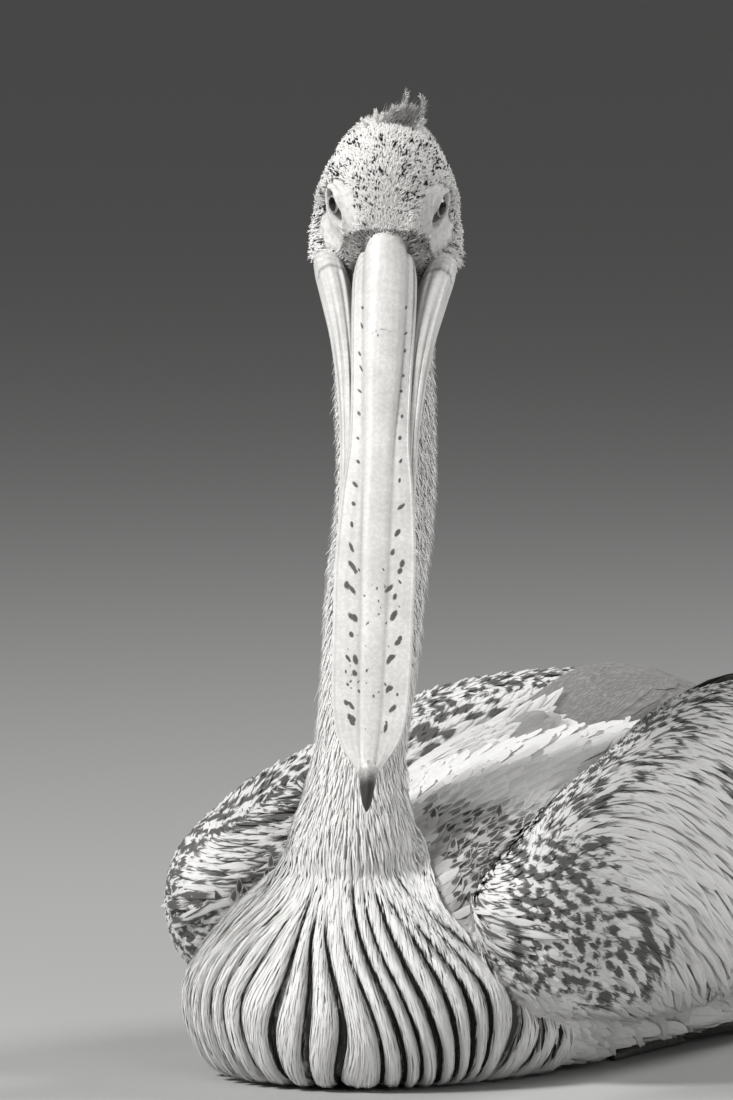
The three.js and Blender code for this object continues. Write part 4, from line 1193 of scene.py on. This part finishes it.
def marked(piece, paint, spots, furrow):
    for key, value in (("spots", spots), ("furrow", furrow)):
        setValues(piece.data, key, np.broadcast_to(value, (len(piece.data.vertices),)))
    piece.data.materials.append(paint)


bill = hardPiece("bill", "bill_upper", moulded(168, 380, upperBillShape))
nail = hardPiece("nail", "bill_nail", moulded(48, 60, nailShape))
mandibles = [hardPiece("mandible" + tag.title(), "mandible_" + tag,
                       moulded(72, 200, mandibleShape(sign)))
             for tag, sign in (("left", 1), ("right", -1))]
pouch = hardPiece("gularPouch", "pouch", moulded(72, 120, pouchShape))

billMarks = {"step": 12.5, "start": 58, "half": (.6, 1.1), "long": (1.3, 2.7), "tipExtra": 46}
side, along, above = toHead(verts(bill.data))
half, top, edge, under, ridge = upperBillAt(along)
spots = np.full(len(side), -1.)
places = [(sign, f + rng.uniform(-3, 3)) for sign in (-1, 1)
          for f in np.arange(billMarks["start"], 296, billMarks["step"])]
centres = []
for sign, f in places:
    lower = float(ease(f, 120, 230))
    share = rng.uniform(.66, .74) - .2 * lower + rng.uniform(-.06, .06) * lower
    for _ in range(1 + int(rng.random() < .75 * lower)):
        centres.append((sign * (share + rng.uniform(-.12, .12) * lower), f + rng.uniform(-3, 3) * lower,
                        1 + .6 * lower, sign))
for _ in range(billMarks["tipExtra"]):
    centres.append((rng.uniform(-.75, .75), rng.uniform(205, 300), rng.uniform(.35, .85),
                    rng.choice([-1, 1])))
centres += [(.02, 46, .55, 1), (-.16, 78, .8, 1)]
for share, f, grow, sign in centres:
    lean = math.radians(rng.uniform(8, 40)) * sign
    width = rng.uniform(*billMarks["half"]) * grow
    length = rng.uniform(*billMarks["long"]) * grow
    dx, dy = side - share * float(upperBillAt(f)[0][0]), along - f
    u, v = dx * math.cos(lean) + dy * math.sin(lean), -dx * math.sin(lean) + dy * math.cos(lean)
    spots = np.maximum(spots, 1 - np.hypot(u / width, v / length))
scratchLine = 1 - np.abs(along - 77 + 2.2 * (1 - (side / 6)**2)) / .5 \
    - np.maximum(np.abs(side + 1) - 5.2, 0) * 2
spots = np.where(above > edge - 1, np.maximum(spots, scratchLine * .5), -1)
share = np.abs(side) / half
brim = ridge / half
furrow = .45 * np.exp(-((share - brim - .06) / .05)**2) + .25 * ease(share, .9, 1) \
    + .5 * ease(above, edge - .5, edge - 3)
wrinkles = ease(np.sin(along * 1.9 + 4 * np.sin(share * 7 + along * .1)), .1, .9) * ease(along, 50, 22)
furrow = furrow + .3 * wrinkles * ease(share, brim - .1, brim + .1)
marked(bill, billPaint, spots, np.clip(furrow + .5 * ease(along, 24, 15), 0, 1))
along = toHead(verts(nail.data))[1]
marked(nail, nailPaint, -1, ease(along, 316, 326))
for piece, sign in zip(mandibles, (1, -1)):
    side, along, above = toHead(verts(piece.data))
    spread, height, halfWidth, halfHeight = mandibleAt(along)
    angle = np.arctan2((above - height) / halfHeight, (side * sign - spread) / halfWidth)
    lines = ease(np.sin(angle * 9 + .8 * np.sin(along * .045)), -.3, -.95) * ease(along, 22, 34)
    arcs = ease(np.sin(along * 1.5 + 2.4 * np.sin(angle) + np.sin(angle * 5)), -.2, -.9)
    arcs = arcs * ease(along, 28, 20) * .35
    arch = np.exp(-((along - 27 - 7 * (1 - np.sin(angle))) / 1.1)**2) * ease(np.sin(angle), .1, .5)
    lines = np.maximum(lines * ease(along, 26 + 7 * (1 - np.sin(angle)), 32 + 7 * (1 - np.sin(angle))), arch)
    lines = .06 + .66 * lines * (.6 + .4 * np.sin(along * .06 + angle * 3)) + .75 * arcs
    marked(piece, billPaint, -1, np.clip(np.maximum(lines, .95 * arch), 0, 1))
marked(pouch, pouchPaint, -1, .15)
print("bill and pouch made")

footPlan = {"voxel": .0011, "smoothing": 5}
for node in ("leg_left", "leg_right", "foot_left", "foot_right"):
    bm = bmesh.new()
    bm.from_mesh(bpy.data.objects[node].data)
    bm.transform(bpy.data.objects[node].matrix_world)
    piece = asObject(bm, node + "_skin")
    remesh = piece.modifiers.new("remesh", "REMESH")
    remesh.mode, remesh.voxel_size = "VOXEL", footPlan["voxel"]
    soften = piece.modifiers.new("soften", "SMOOTH")
    soften.factor, soften.iterations = .5, footPlan["smoothing"]
    baked(piece)
    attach(piece, "root")
    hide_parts(node)
    marked(piece, footPaint, -1, .1)
print("feet made")

plush = {"headSpacing": .001, "headLength": (2.4, 4.2), "headWidth": (.38, .74), "headLift": (.5, 1.5),
         "perHeadRoot": 3, "neckSpacing": .0014, "neckLength": (5, 8), "neckWidth": (.5, .9),
         "neckLift": (1.2, 3.4), "perNeckRoot": 3, "loresLength": (2.6, 4.2), "loresWidth": (.35, .65)}


def headWay(side, along, above):
    return stack(side, -np.asarray(along, float), above) @ headAxes.T


def between(low, high, count):
    return low + (high - low) * rng.random(count)


def headFlow(places, _):
    side, along, above = toHead(places)
    outward = np.clip(side / 24, -1, 1)
    cheek = ease(above, -10, -22) * ease(np.abs(side), 14, 24)
    way = headWay(outward * (.75 - .6 * cheek), -1 + 1.15 * cheek, -.2 - .8 * cheek)
    nape = ease(along, -30, -50)[:, None]
    return unit(way) * (1 - nape) + np.array([0, 0, -1.]) * nape


def neckFlow(places, _):
    way = np.zeros_like(places)
    way[:, 2] = -1
    return way


naked, loresHere, frontHere = headLook(triCentres)
headWeight = np.where((triParts == "head") & ~frontHere, 1 - naked, 0) * (1 + .5 * loresHere)
roots, normals, faces = scatter(headWeight, np.full(len(triAreas), plush["headSpacing"]))
naked, inLores, _ = headLook(roots)
chosen = rng.random(len(roots)) > naked * 1.3
roots, normals, faces, inLores, naked = (np.repeat(v[chosen], plush["perHeadRoot"], 0)
                                         for v in (roots, normals, faces, inLores, naked))
count = len(roots)
side, along, above = toHead(roots)
hairy = inLores > .4
heading = turned(laidFlat(headFlow(roots, normals), normals), normals, rng.normal(0, .36, count))
short = (.62 + .38 * ease(along, 22, 10)) * (1 - .4 * ease(naked, .05, .6)) * (1 + .5 * ease(along, -30, -45))
short = short * (1 + .9 * ease(along, 2, 10) * ease(above, -14, -24) * ease(np.abs(side), 20, 26))
length = np.where(hairy, between(*plush["loresLength"], count),
                  between(*plush["headLength"], count) * short) * mm
lift = between(*plush["headLift"], count) * short * np.where(hairy, .5, 1) * mm
down = downFace(along, above)
fringe = (along > 20.5) & (down > 12.4 + rng.normal(0, .5, count))
shifted = roots + normals * .0001 + rng.normal(0, .00035, (count, 3))
spine, spineNormals = springing(shifted, normals, heading, length, 3, lift, rng.normal(0, .28, count))
width = np.where(hairy, between(*plush["loresWidth"], count), between(*plush["headWidth"], count)) * mm
grey = np.clip(rng.normal(.015, .03, count), 0, 1)
deep = 1 - .6 * ease(down, 15, 24) * (rng.random(count) < .75)
sooty = np.clip(np.maximum(inLores, fringe) * rng.normal(.84, .2, count) * deep, 0, 1)
headCoat = blades("headPlush", spine, spineNormals, faces, width, "tuft", 1, 0,
                  grey=np.where(hairy | fringe, sooty, grey), blotch=headSpecks, heart=0, shaft=0, slim=0)
headCoat.data.materials.append(plushPaint)

neckWeight = np.where((triParts == "neck") | ((triParts == "trunk") & (fromNeck(triCentres)[0] < 2.2)), 1., 0)
neckWeight *= ease(triCentres[:, 2] / mm, 108, 116) * (1 - onShoulder(triCentres))
for name, low, high in (("neckPlushUpper", .27, .5), ("neckPlushLower", .1, .27)):
    here = neckWeight * (triCentres[:, 2] > low) * (triCentres[:, 2] <= high)
    roots, normals, faces = scatter(here, np.full(len(triAreas), plush["neckSpacing"]))
    roots, normals, faces = (np.repeat(v, plush["perNeckRoot"], 0) for v in (roots, normals, faces))
    chosen = rng.random(len(roots)) < ease(roots[:, 2] / mm, 116, 178)
    roots, normals, faces = roots[chosen], normals[chosen], faces[chosen]
    count = len(roots)
    z = roots[:, 2] / mm
    lower = ease(z, 270, 165)
    heading = turned(laidFlat(neckFlow(roots, normals), normals), normals, rng.normal(0, .2 - .1 * lower))
    length = between(*plush["neckLength"], count) * (1 + lower * .9)
    shifted = roots + rng.normal(0, .0006, (count, 3))
    lift = between(*plush["neckLift"], count) * mm * (1 - .66 * lower)
    spine, spineNormals = springing(shifted, normals, heading, length * mm, 3, lift,
                                    rng.normal(0, .12, count))
    width = between(*plush["neckWidth"], count) * mm * (1 - .1 * lower)
    coat = blades(name, spine, spineNormals, faces, width, "lock", 1, 0,
                  grey=np.clip(rng.normal(.02, .03, count), 0, 1), blotch=0, heart=0, shaft=0, slim=0)
    coat.data.materials.append(lockPaint)

locks = {"spacing": .0019, "length": (11, 26), "width": (.8, 1.3), "base": 1.1, "tip": 1.5, "perRoot": 2}


def pocketAt(points):  # the hollow over each foot
    x, y, z = points.T
    return (np.abs(np.abs(x) - .046) < .034) & (y > .118) & (y < .31) & (z < .03)


def breastFlow(places, normal):
    _, _, roundWay, drift, _ = breastRidges(places)
    way = roundWay * (np.clip(drift, -2.5, 2.5) * (1 - normal[:, 2]**2))[:, None]
    way[:, 2] = -1
    return way


y, z = triCentres[:, 1] / mm, triCentres[:, 2] / mm
lockWeight = ((triParts == "trunk") | ((triParts == "neck") & (z < 190))) * ease(y, 66, 40)
lockWeight *= (z > 6.5) & (z < 186) & ~onShoulder(triCentres)


# how far the ridge's feathers stand over the skin, in millimetres, and how its side leans
def ridgeRise(places):
    offset, half, roundWay, _, width = breastRidges(places)
    z = places[:, 2] / mm
    share = np.clip(np.abs(offset) / (.5 - half), 0, 1)
    crown = breast["crown"] * (.15 + .85 * ease(z, 172, 84))
    fall = ease(half * width, .1, .8)
    rise = locks["base"] + crown * (1 - (.25 + .65 * fall) * share**2.4)
    lean = 2.4 * crown * (.25 + .65 * fall) * share**1.4 * np.sign(offset) / ((.5 - half) * width)
    return rise, roundWay * np.clip(lean, -1.4, 1.4)[..., None]


for name, sign in (("breastLocksLeft", 1), ("breastLocksRight", -1)):
    here = lockWeight * (np.sign(triCentres[:, 0]) == sign)
    roots, normals, faces = scatter(here, np.full(len(triAreas), locks["spacing"]))
    offset, half, _, _, _ = breastRidges(roots)
    chosen = (np.abs(offset) < .5 - .85 * half) & (rng.random(len(roots)) < ease(roots[:, 2] / mm, 186, 134))
    roots, faces = (np.repeat(v[chosen], locks["perRoot"], 0) for v in (roots, faces))
    count = len(roots)
    roots = roots + rng.normal(0, .0005, (count, 3))
    z = roots[:, 2] / mm
    low, high = locks["length"]
    length = (low + (high - low) * ease(z, 140, 90)) * (.6 + .6 * rng.random(count))
    tipLift = locks["tip"] * (.2 + rng.random(count)) * mm

    def lockLift(t, places):
        return ridgeRise(places)[0] * mm * (.25 + .75 * ease(t, 0, .3)) + tipLift * t

    spine, spineNormals, faces = drape(roots, length * mm, breastFlow, 4, lockLift,
                                       rng.normal(0, .045, count), 2)
    lean = ridgeRise(spine.reshape(-1, 3))[1].reshape(spine.shape)
    spineNormals = unit(spineNormals + lean)
    width = between(*locks["width"], count) * (.7 + .3 * ease(z, 140, 90)) * mm
    # the locks' grey and marks carry painted shade on the ridges' sides and painted shadow in the gaps
    # between them
    coat = blades(name, spine, spineNormals, faces, width, "lock", 1, 0, grey=sideShade, blotch=gapShade,
                  heart=0, shaft=0, slim=0)
    coat.data.materials.append(lockPaint)

# the trunk's contour feathers, and the mantle's pointed ones
# sizes: y, width and length
contour = {"sizes": [[0, 6, 18], [60, 8, 26], [130, 12, 44], [220, 16, 66], [480, 18, 78]], "cover": .4,
           "lift": 6.5}
pointed = {"spacing": 3.9, "width": (4.4, 6.4), "length": (12, 18), "lift": (1.5, 5.5)}


def trunkFlow(places, _):
    x, y, z = (places / mm).T
    way = np.stack([.12 * np.sign(x) * ease(y, 140, 20), np.ones_like(x), -.22 * ease(z, 90, 40)], -1)
    climbing = np.stack([.5 * np.sign(x), np.full_like(x, .5), np.full_like(x, .8)], -1)
    climb = mantleShare(places)[:, None]
    return way * (1 - climb) + climbing * climb


y, z = triCentres[:, 1] / mm, triCentres[:, 2] / mm
behindBreast = np.maximum(ease(y, 26, 50), (y > 5) & (z > 70)) * ~pocketAt(triCentres)
trunkWeight = (triParts == "trunk") * np.maximum(behindBreast, onShoulder(triCentres) & (y < 70))
sizeAt = smoothTable(contour["sizes"])
wide, long = sizeAt(y)
spacing = contour["cover"] * np.sqrt(wide * long) * mm
spacing = np.where(onShoulder(triCentres) & (y < 84), pointed["spacing"] * mm, spacing)
roots, normals, faces = scatter(trunkWeight, spacing)
count = len(roots)
wide, long = sizeAt(roots[:, 1] / mm) * between(.85, 1.15, count)
tipLift = np.minimum(contour["lift"], .8 + .12 * long) * between(.85, 1.1, count) * mm
long = np.minimum(long, 500 - roots[:, 1] / mm)
mantle = mantleShare(roots)
tipLift = tipLift * (1 - mantle) + mantle * between(*pointed["lift"], count) * mm
wide = wide * (1 - mantle) + mantle * between(*pointed["width"], count)
long = long * (1 - mantle) + mantle * between(*pointed["length"], count)
spine, spineNormals, faces = drape(roots, long * mm, trunkFlow, 5, lambda t, _: tipLift * t**.9,
                                   rng.normal(0, .08 + .22 * mantle))
grey, _, shaft, _, _, _ = bodyLook(spine[:, 3])
coat = blades("trunkFeathers", spine, spineNormals, faces, wide * mm, "covert", 2, .22, tatter=.15,
              lance=.35 + .65 * mantle, blotch=0, slim=0,
              grey=np.clip(np.maximum(grey, mantle * .6) * between(.4, 1.4, count), 0, 1),
              heart=mantle * between(.8, 1.2, count), shaft=shaft * between(.2, 1, count))
coat.data.materials.append(wingPaint)

coverts = {  # sizes: distance from the wing's front edge, width and length
    "sizes": [[-30, 3.2, 11], [0, 3.2, 12], [25, 3.4, 19], [50, 4.2, 29], [80, 5.6, 46], [115, 7, 72],
              [200, 9, 90]],
    "capSize": (5.6, 11), "cover": .36, "lift": 5.6,
}


def wingFlow(places, _):
    side, y, angle, _ = inWing(places)
    turnDegrees = np.degrees(angle)
    slope = np.where((turnDegrees > 104) & (y > 60), np.radians(-15) * ease(y, 300, 230), featherSlope(y))
    within = ease(turnDegrees, 92, 116) * ease(y, 78, 48)
    outward = side * (2 * ease(y, 22, -4) + .7 * within)
    return np.stack([outward, np.cos(slope) - 1.9 * within, -np.sin(slope)], -1)


def wingSizes(places):  # each feather's width and length, and the distance from the wing's edge or crest that sets them
    _, _, _, edgeWay, _, inner = bodyLook(places)
    _, y, angle, _ = inWing(places)
    fromCrest = np.radians(np.degrees(angle) - 108) * 58
    key = np.where(inner, 10 + fromCrest * 1.1, edgeWay)
    wide, long = coverAt(key)
    cap = ease(y, 42, 18) * ~inner
    capWide, capLong = coverts["capSize"]
    return wide + (capWide - wide) * cap, long + (capLong - long) * cap, key


def wingBlotch(places):
    return bodyLook(places, True)[1]


coverAt = smoothTable(coverts["sizes"])
wideTri, longTri, _ = wingSizes(triCentres)
slack = np.linalg.norm(laidFlatRaw(wingFlow(triCentres, triNormals), triNormals), axis=1)
wingSpacing = np.sqrt(wideTri * longTri) * mm * (.45 + .55 * ease(slack, .1, .7)) * coverts["cover"]
for name, sign in (("wingFeathersLeft", 1), ("wingFeathersRight", -1)):
    here = np.where((triParts == "wing") & (np.sign(triCentres[:, 0]) == sign), 1., 0)
    roots, normals, faces = scatter(here, wingSpacing)
    count = len(roots)
    wide, long, key = wingSizes(roots)
    wide, long = wide * between(.8, 1.25, count), long * between(.85, 1.15, count)
    tipLift = np.minimum(coverts["lift"], 1 + .1 * long) * between(.8, 1.1, count) * mm
    long = np.minimum(long, 496 - roots[:, 1] / mm)
    spine, spineNormals, faces = drape(roots, long * mm, wingFlow, 5, lambda t, _: tipLift * t**.8,
                                       rng.normal(0, .09, count))
    grey, _, shaft, _, _, _ = bodyLook(spine[:, 3], True)
    coat = blades(name, spine, spineNormals, faces, wide * mm, "covert", 2, .2, tatter=.15,
                  lance=.55 + .45 * rng.random(count), slim=.6, heart=0, blotch=wingBlotch,
                  grey=np.clip(grey + rng.normal(0, .04, count), 0, 1),
                  shaft=shaft * (rng.random(count) < .5) * rng.random(count))
    coat.data.materials.append(wingPaint)
print("coats made")

# large feathers over the inner wing, and the longest ones along its lower edge
largeFeathers = {  # y of roots, angle round the wing, width, length, greyness and how many
    "tertials": ((170, 208), (140, 156), 32, 146, (.85, 1), 4),
    "scapulars": ((105, 172), (152, 178), 9, 64, (0, .14), 50),
    "tipped": ((158, 178), (150, 160), 15, 52, (.5, .7), 3),
    "secondaries": ((120, 350), (-34, -6), 15, 120, (.1, .5), 26),
}
for name, sign in (("largeWingFeathersLeft", 1), ("largeWingFeathersRight", -1)):
    rows = []
    for kind, (along, angles, wide, long, greys, number) in largeFeathers.items():
        for i in range(number):
            t = (i + .5) / number
            rootY = along[0] + (along[1] - along[0]) * t
            angle = angles[0] + (angles[1] - angles[0]) * ((i * .618 + .3) % 1)
            rows.append((rootY, angle, wide, long, rng.uniform(*greys), kind in ("tertials", "tipped")))
    rows = np.array(rows, float)
    roots, _, _ = landOn(wingPoint(sign, rows[:, 0], np.radians(rows[:, 1]), -coatDepth["wing"]) * mm)
    count = len(rows)
    broad = rows[:, 5]
    long = np.minimum(rows[:, 3] * between(.85, 1.1, count), 520 - rows[:, 0])
    rootLift, tipLift = 2.5 * mm, np.where(broad > 0, 8, 6.5) * mm
    spine, spineNormals, faces = drape(roots, long * mm, wingFlow, 9,
                                       lambda t, _: rootLift + (tipLift - rootLift) * t,
                                       rng.normal(0, .06, count))
    width = rows[:, 2] * between(.85, 1.1, count) * mm
    coat = blades(name, spine, spineNormals, faces, width, "covert", 4, .16, tatter=.06,
                  lance=np.where(broad > 0, .15, .75), grey=rows[:, 4], blotch=0, heart=broad * .15, slim=.2,
                  shaft=.7 * (rng.random(count) < .6) * (broad < 1))
    coat.data.materials.append(wingPaint)

quillPlan = {"wing": {"count": 9, "length": 228, "width": 30, "cup": 4.5},
             "tail": {"count": 14, "length": 176, "width": 30, "cup": 2.2, "fan": 19}, "thickness": 1.3,
             "shaft": 1.1}


def quillShape(length, width, cup, place):
    def shape(t, angle):
        v = .5 * t + .5 * (1 - np.cos(np.pi * t)) / 2
        tip = np.sqrt(np.clip(1 - np.maximum(0, (v - .84) / .16)**2, 0, 1))
        half = width / 2 * (.3 + .7 * np.minimum(1, v * 3.2)) * tip + .05
        x = half * np.cos(angle)
        thick = quillPlan["thickness"] / 2 * (1 - .55 * v) * np.minimum(1, 12 * (1 - v)) + .04
        shaft = quillPlan["shaft"] * (1 - .8 * v) * np.exp(-(x / (1.5 - .9 * v))**2)
        z = cup * (1 - (x / (width / 2))**2) + np.sin(angle) * (thick + shaft) - 9 * v**2 * (length / 200)
        fray = 1 + .012 * np.sin(v * 90 + np.cos(angle) * 5) * (np.abs(np.cos(angle)) > .9)
        local = np.stack([x * fray, v * length, z, np.ones_like(x)], -1)
        return (local @ np.array(place).T)[:, :3]
    return shape


def quillFan(name, node, places, mirrored=1):
    whole = bmesh.new()
    side = math.ceil(math.sqrt(len(places)))
    for i, (length, width, cup, place) in enumerate(places):
        one = moulded(24, 44, quillShape(length, width, cup, place))
        if mirrored < 0:
            one.transform(Matrix.Diagonal((-1, 1, 1, 1)))
            bmesh.ops.reverse_faces(one, faces=one.faces)
        vane, bake = one.loops.layers.uv["vane"], one.loops.layers.uv.new("OFBake")
        for face in one.faces:
            lower = .5 if face.normal.z < 0 else 0
            for loop in face.loops:
                u, v = loop[vane].uv
                column, line = i % side + .03 + .45 * u + lower, i // side + .04 + .92 * v
                loop[bake].uv = (column / side, line / side)
        scratch = bpy.data.meshes.new("scratch")
        one.to_mesh(scratch)
        one.free()
        whole.from_mesh(scratch)
        bpy.data.meshes.remove(scratch)
    fan = asObject(whole, name)
    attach(fan, "root")
    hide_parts(node)
    count = len(fan.data.vertices)
    per = count // len(places)
    setValues(fan.data, "grey", np.repeat(rng.uniform(.75, 1, len(places)), per))
    for key, value in (("blotch", 0), ("heart", .35), ("shaft", .8), ("slim", 0)):
        setValues(fan.data, key, np.full(count, value))
    spans = [[width, length, i / len(places)] for i, (length, width, _, _) in enumerate(places)]
    setVectors(fan.data, "span", np.repeat(spans, per, 0))
    fan.data.materials.append(quillPaint)


def turnedPlace(aroundY, aroundX, aroundZ, x, y, z):
    return Matrix.Translation((x, y, z)) @ Matrix.Rotation(math.radians(aroundZ), 4, "Z") \
        @ Matrix.Rotation(math.radians(aroundX), 4, "X") @ Matrix.Rotation(math.radians(aroundY), 4, "Y")


quillLook = {**wingLook, "pale": (.62, .61, .6), "greyed": (.115, .11, .107), "shade": (.07, .068, .066),
             "root": (.5, .49, .48), "fibreDepth": .6, "rootShadeDepth": .7, "streak": .035, "roughness": .55}
quillPaint = featherMaterial("quillPaint", quillLook)
wingPlan, tailPlan = quillPlan["wing"], quillPlan["tail"]
wingPlaces, tailPlaces = [], []
for i in range(wingPlan["count"]):
    t = i / (wingPlan["count"] - 1)
    place = turnedPlace(34 + 30 * t, -5.5 + 1.5 * t, 7.5 - 5 * t, 34 + 17 * t, 352, 126 - 34 * t)
    wingPlaces.append((wingPlan["length"] - 92 * t, wingPlan["width"], wingPlan["cup"], place))
for i in range(tailPlan["count"]):
    t = 2 * i / (tailPlan["count"] - 1) - 1
    place = turnedPlace(12 * t, -4, -tailPlan["fan"] * t, 20 * t, 432, 84 - 5 * abs(t) + .25 * (i % 2))
    tailPlaces.append((tailPlan["length"] - 22 * t * t, tailPlan["width"], tailPlan["cup"], place))
quillFan("primariesLeft", "wing_tip_left", wingPlaces)
quillFan("primariesRight", "wing_tip_right", wingPlaces, -1)
quillFan("tailQuills", "tail", tailPlaces)

crestPlan = {"plumes": [  # points from root to tip in the head's coordinates, barb length and greyness
    ([(4.5, -38, 17), (5.5, -42, 22), (8, -50.5, 31)], 3.2, .5),
    ([(12, -37, 15), (16, -44, 25), (14, -46.5, 31.5)], 2.8, .55),
    ([(0, -38, 18), (2, -42, 22), (6, -46, 23)], 3, .9),
    ([(-2, -36, 18), (0, -40, 22), (1, -45, 23)], 2.6, .85),
    ([(7, -38, 17), (9, -42, 21), (11, -47, 22)], 3, .9),
    ([(10, -37, 16), (11, -41, 20), (13, -46, 21)], 2.8, .8),
    ([(-6, -36, 18), (-7, -40, 20), (-8, -44, 21)], 2, .4),
    ([(-12, -35, 16), (-13, -38, 17), (-15, -41, 17)], 1.6, .2),
    ([(8, -44, 9), (9, -49, 8), (9, -53, 3)], 3, .6), ([(-2, -44, 9), (-3, -49, 8), (-4, -53, 2)], 3, .5),
    ([(3, -45, 8), (3, -50, 6), (2, -54, 0)], 3, .7), ([(14, -41, 9), (16, -46, 8), (17, -50, 4)], 2.8, .5),
    ([(-9, -41, 10), (-11, -46, 8), (-12, -50, 3)], 2.8, .4)],
    "perPlume": 74, "barbWidth": .38, "shaftWidth": .5,
    "hairs": {"count": 190, "roots": ((-5, 12), (-41, -35), (15, 18)), "lean": (-1, 8), "rise": (3, 10.5),
              "back": (3, 10), "width": .32}}
spines, greys, widths = [], [], []
for points, barb, greyness in crestPlan["plumes"]:
    a, b, c = (fromHead(*p) * mm for p in points)
    t = np.linspace(0, 1, 25)[:, None]
    curve = a * (1 - t)**2 + (2 * b - (a + c) / 2) * 2 * t * (1 - t) + c * t**2
    spines.append(curve[::6])
    greys.append(greyness)
    widths.append(crestPlan["shaftWidth"])
    tangent = unit(np.gradient(curve, axis=0))
    for k in range(crestPlan["perPlume"]):
        i = 3 + int(k / crestPlan["perPlume"] * 21)
        spin = rng.random() * 2 * math.pi if greyness > .6 else rng.choice([0, math.pi]) + rng.normal(0, .5)
        sideways = unit(np.cross(tangent[i], toward))
        outward = sideways * math.cos(spin) + np.cross(tangent[i], sideways) * math.sin(spin)
        reach = barb * mm * rng.uniform(.7, 1.1) * (1 - .45 * (i / 24)**3)
        steps = np.linspace(0, 1, 5)[:, None]
        bend = tangent[i] * reach * (.5 * steps + .35 * steps**2)
        spines.append(curve[i] + outward * reach * steps * .8 + bend)
        greys.append(np.clip(greyness * (1.15 - .9 * i / 24) + rng.normal(0, .08), 0, 1))
        widths.append(crestPlan["barbWidth"] * rng.uniform(.7, 1.2))
hairs = crestPlan["hairs"]
for _ in range(hairs["count"]):
    a = np.array([rng.uniform(*span) for span in hairs["roots"]])
    lean, rise, back = (rng.uniform(*hairs[way]) for way in ("lean", "rise", "back"))
    rise *= .6 + .4 * ease(a[0], -4, 6)
    b = a + np.array([lean * rng.uniform(-.3, .3), -back * .3, rise * rng.uniform(.6, .95)])
    c = a + np.array([lean + 2, -back, rise])
    steps = np.linspace(0, 1, 5)[:, None]
    curve = a * (1 - steps)**2 + b * 2 * steps * (1 - steps) + c * steps**2
    spines.append(fromHead(*curve.T) * mm)
    greys.append(rng.uniform(.85, 1.15) * (1 - .3 * ease(a[0], 2, -4)))
    widths.append(hairs["width"] * rng.uniform(.6, 1.2))
spines = np.array(spines)
_, _, crestFaces = landOn(spines[:, 0])
crestNormals = unit(np.array(toward) + .6 * (rng.random((len(spines), 1, 3)) - .5))
crestNormals = np.broadcast_to(crestNormals, spines.shape)
crest = blades("crestPlumes", spines, crestNormals, crestFaces, np.array(widths) * mm, "tuft", 2, .5,
               grey=np.array(greys) * .8, blotch=0, heart=0, shaft=0, slim=0)
crest.data.materials.append(plushPaint)
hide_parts("crest")
print("quills and crest made")

floorMesh = bmesh.new()
bmesh.ops.create_grid(floorMesh, x_segments=1, y_segments=1, size=30)
floor = asObject(floorMesh, "floor")
floorPaint, _, _ = newMaterial("floorPaint", .75, **{"Base Color": (*studio["floor"], 1)})
floor.data.materials.append(floorPaint)
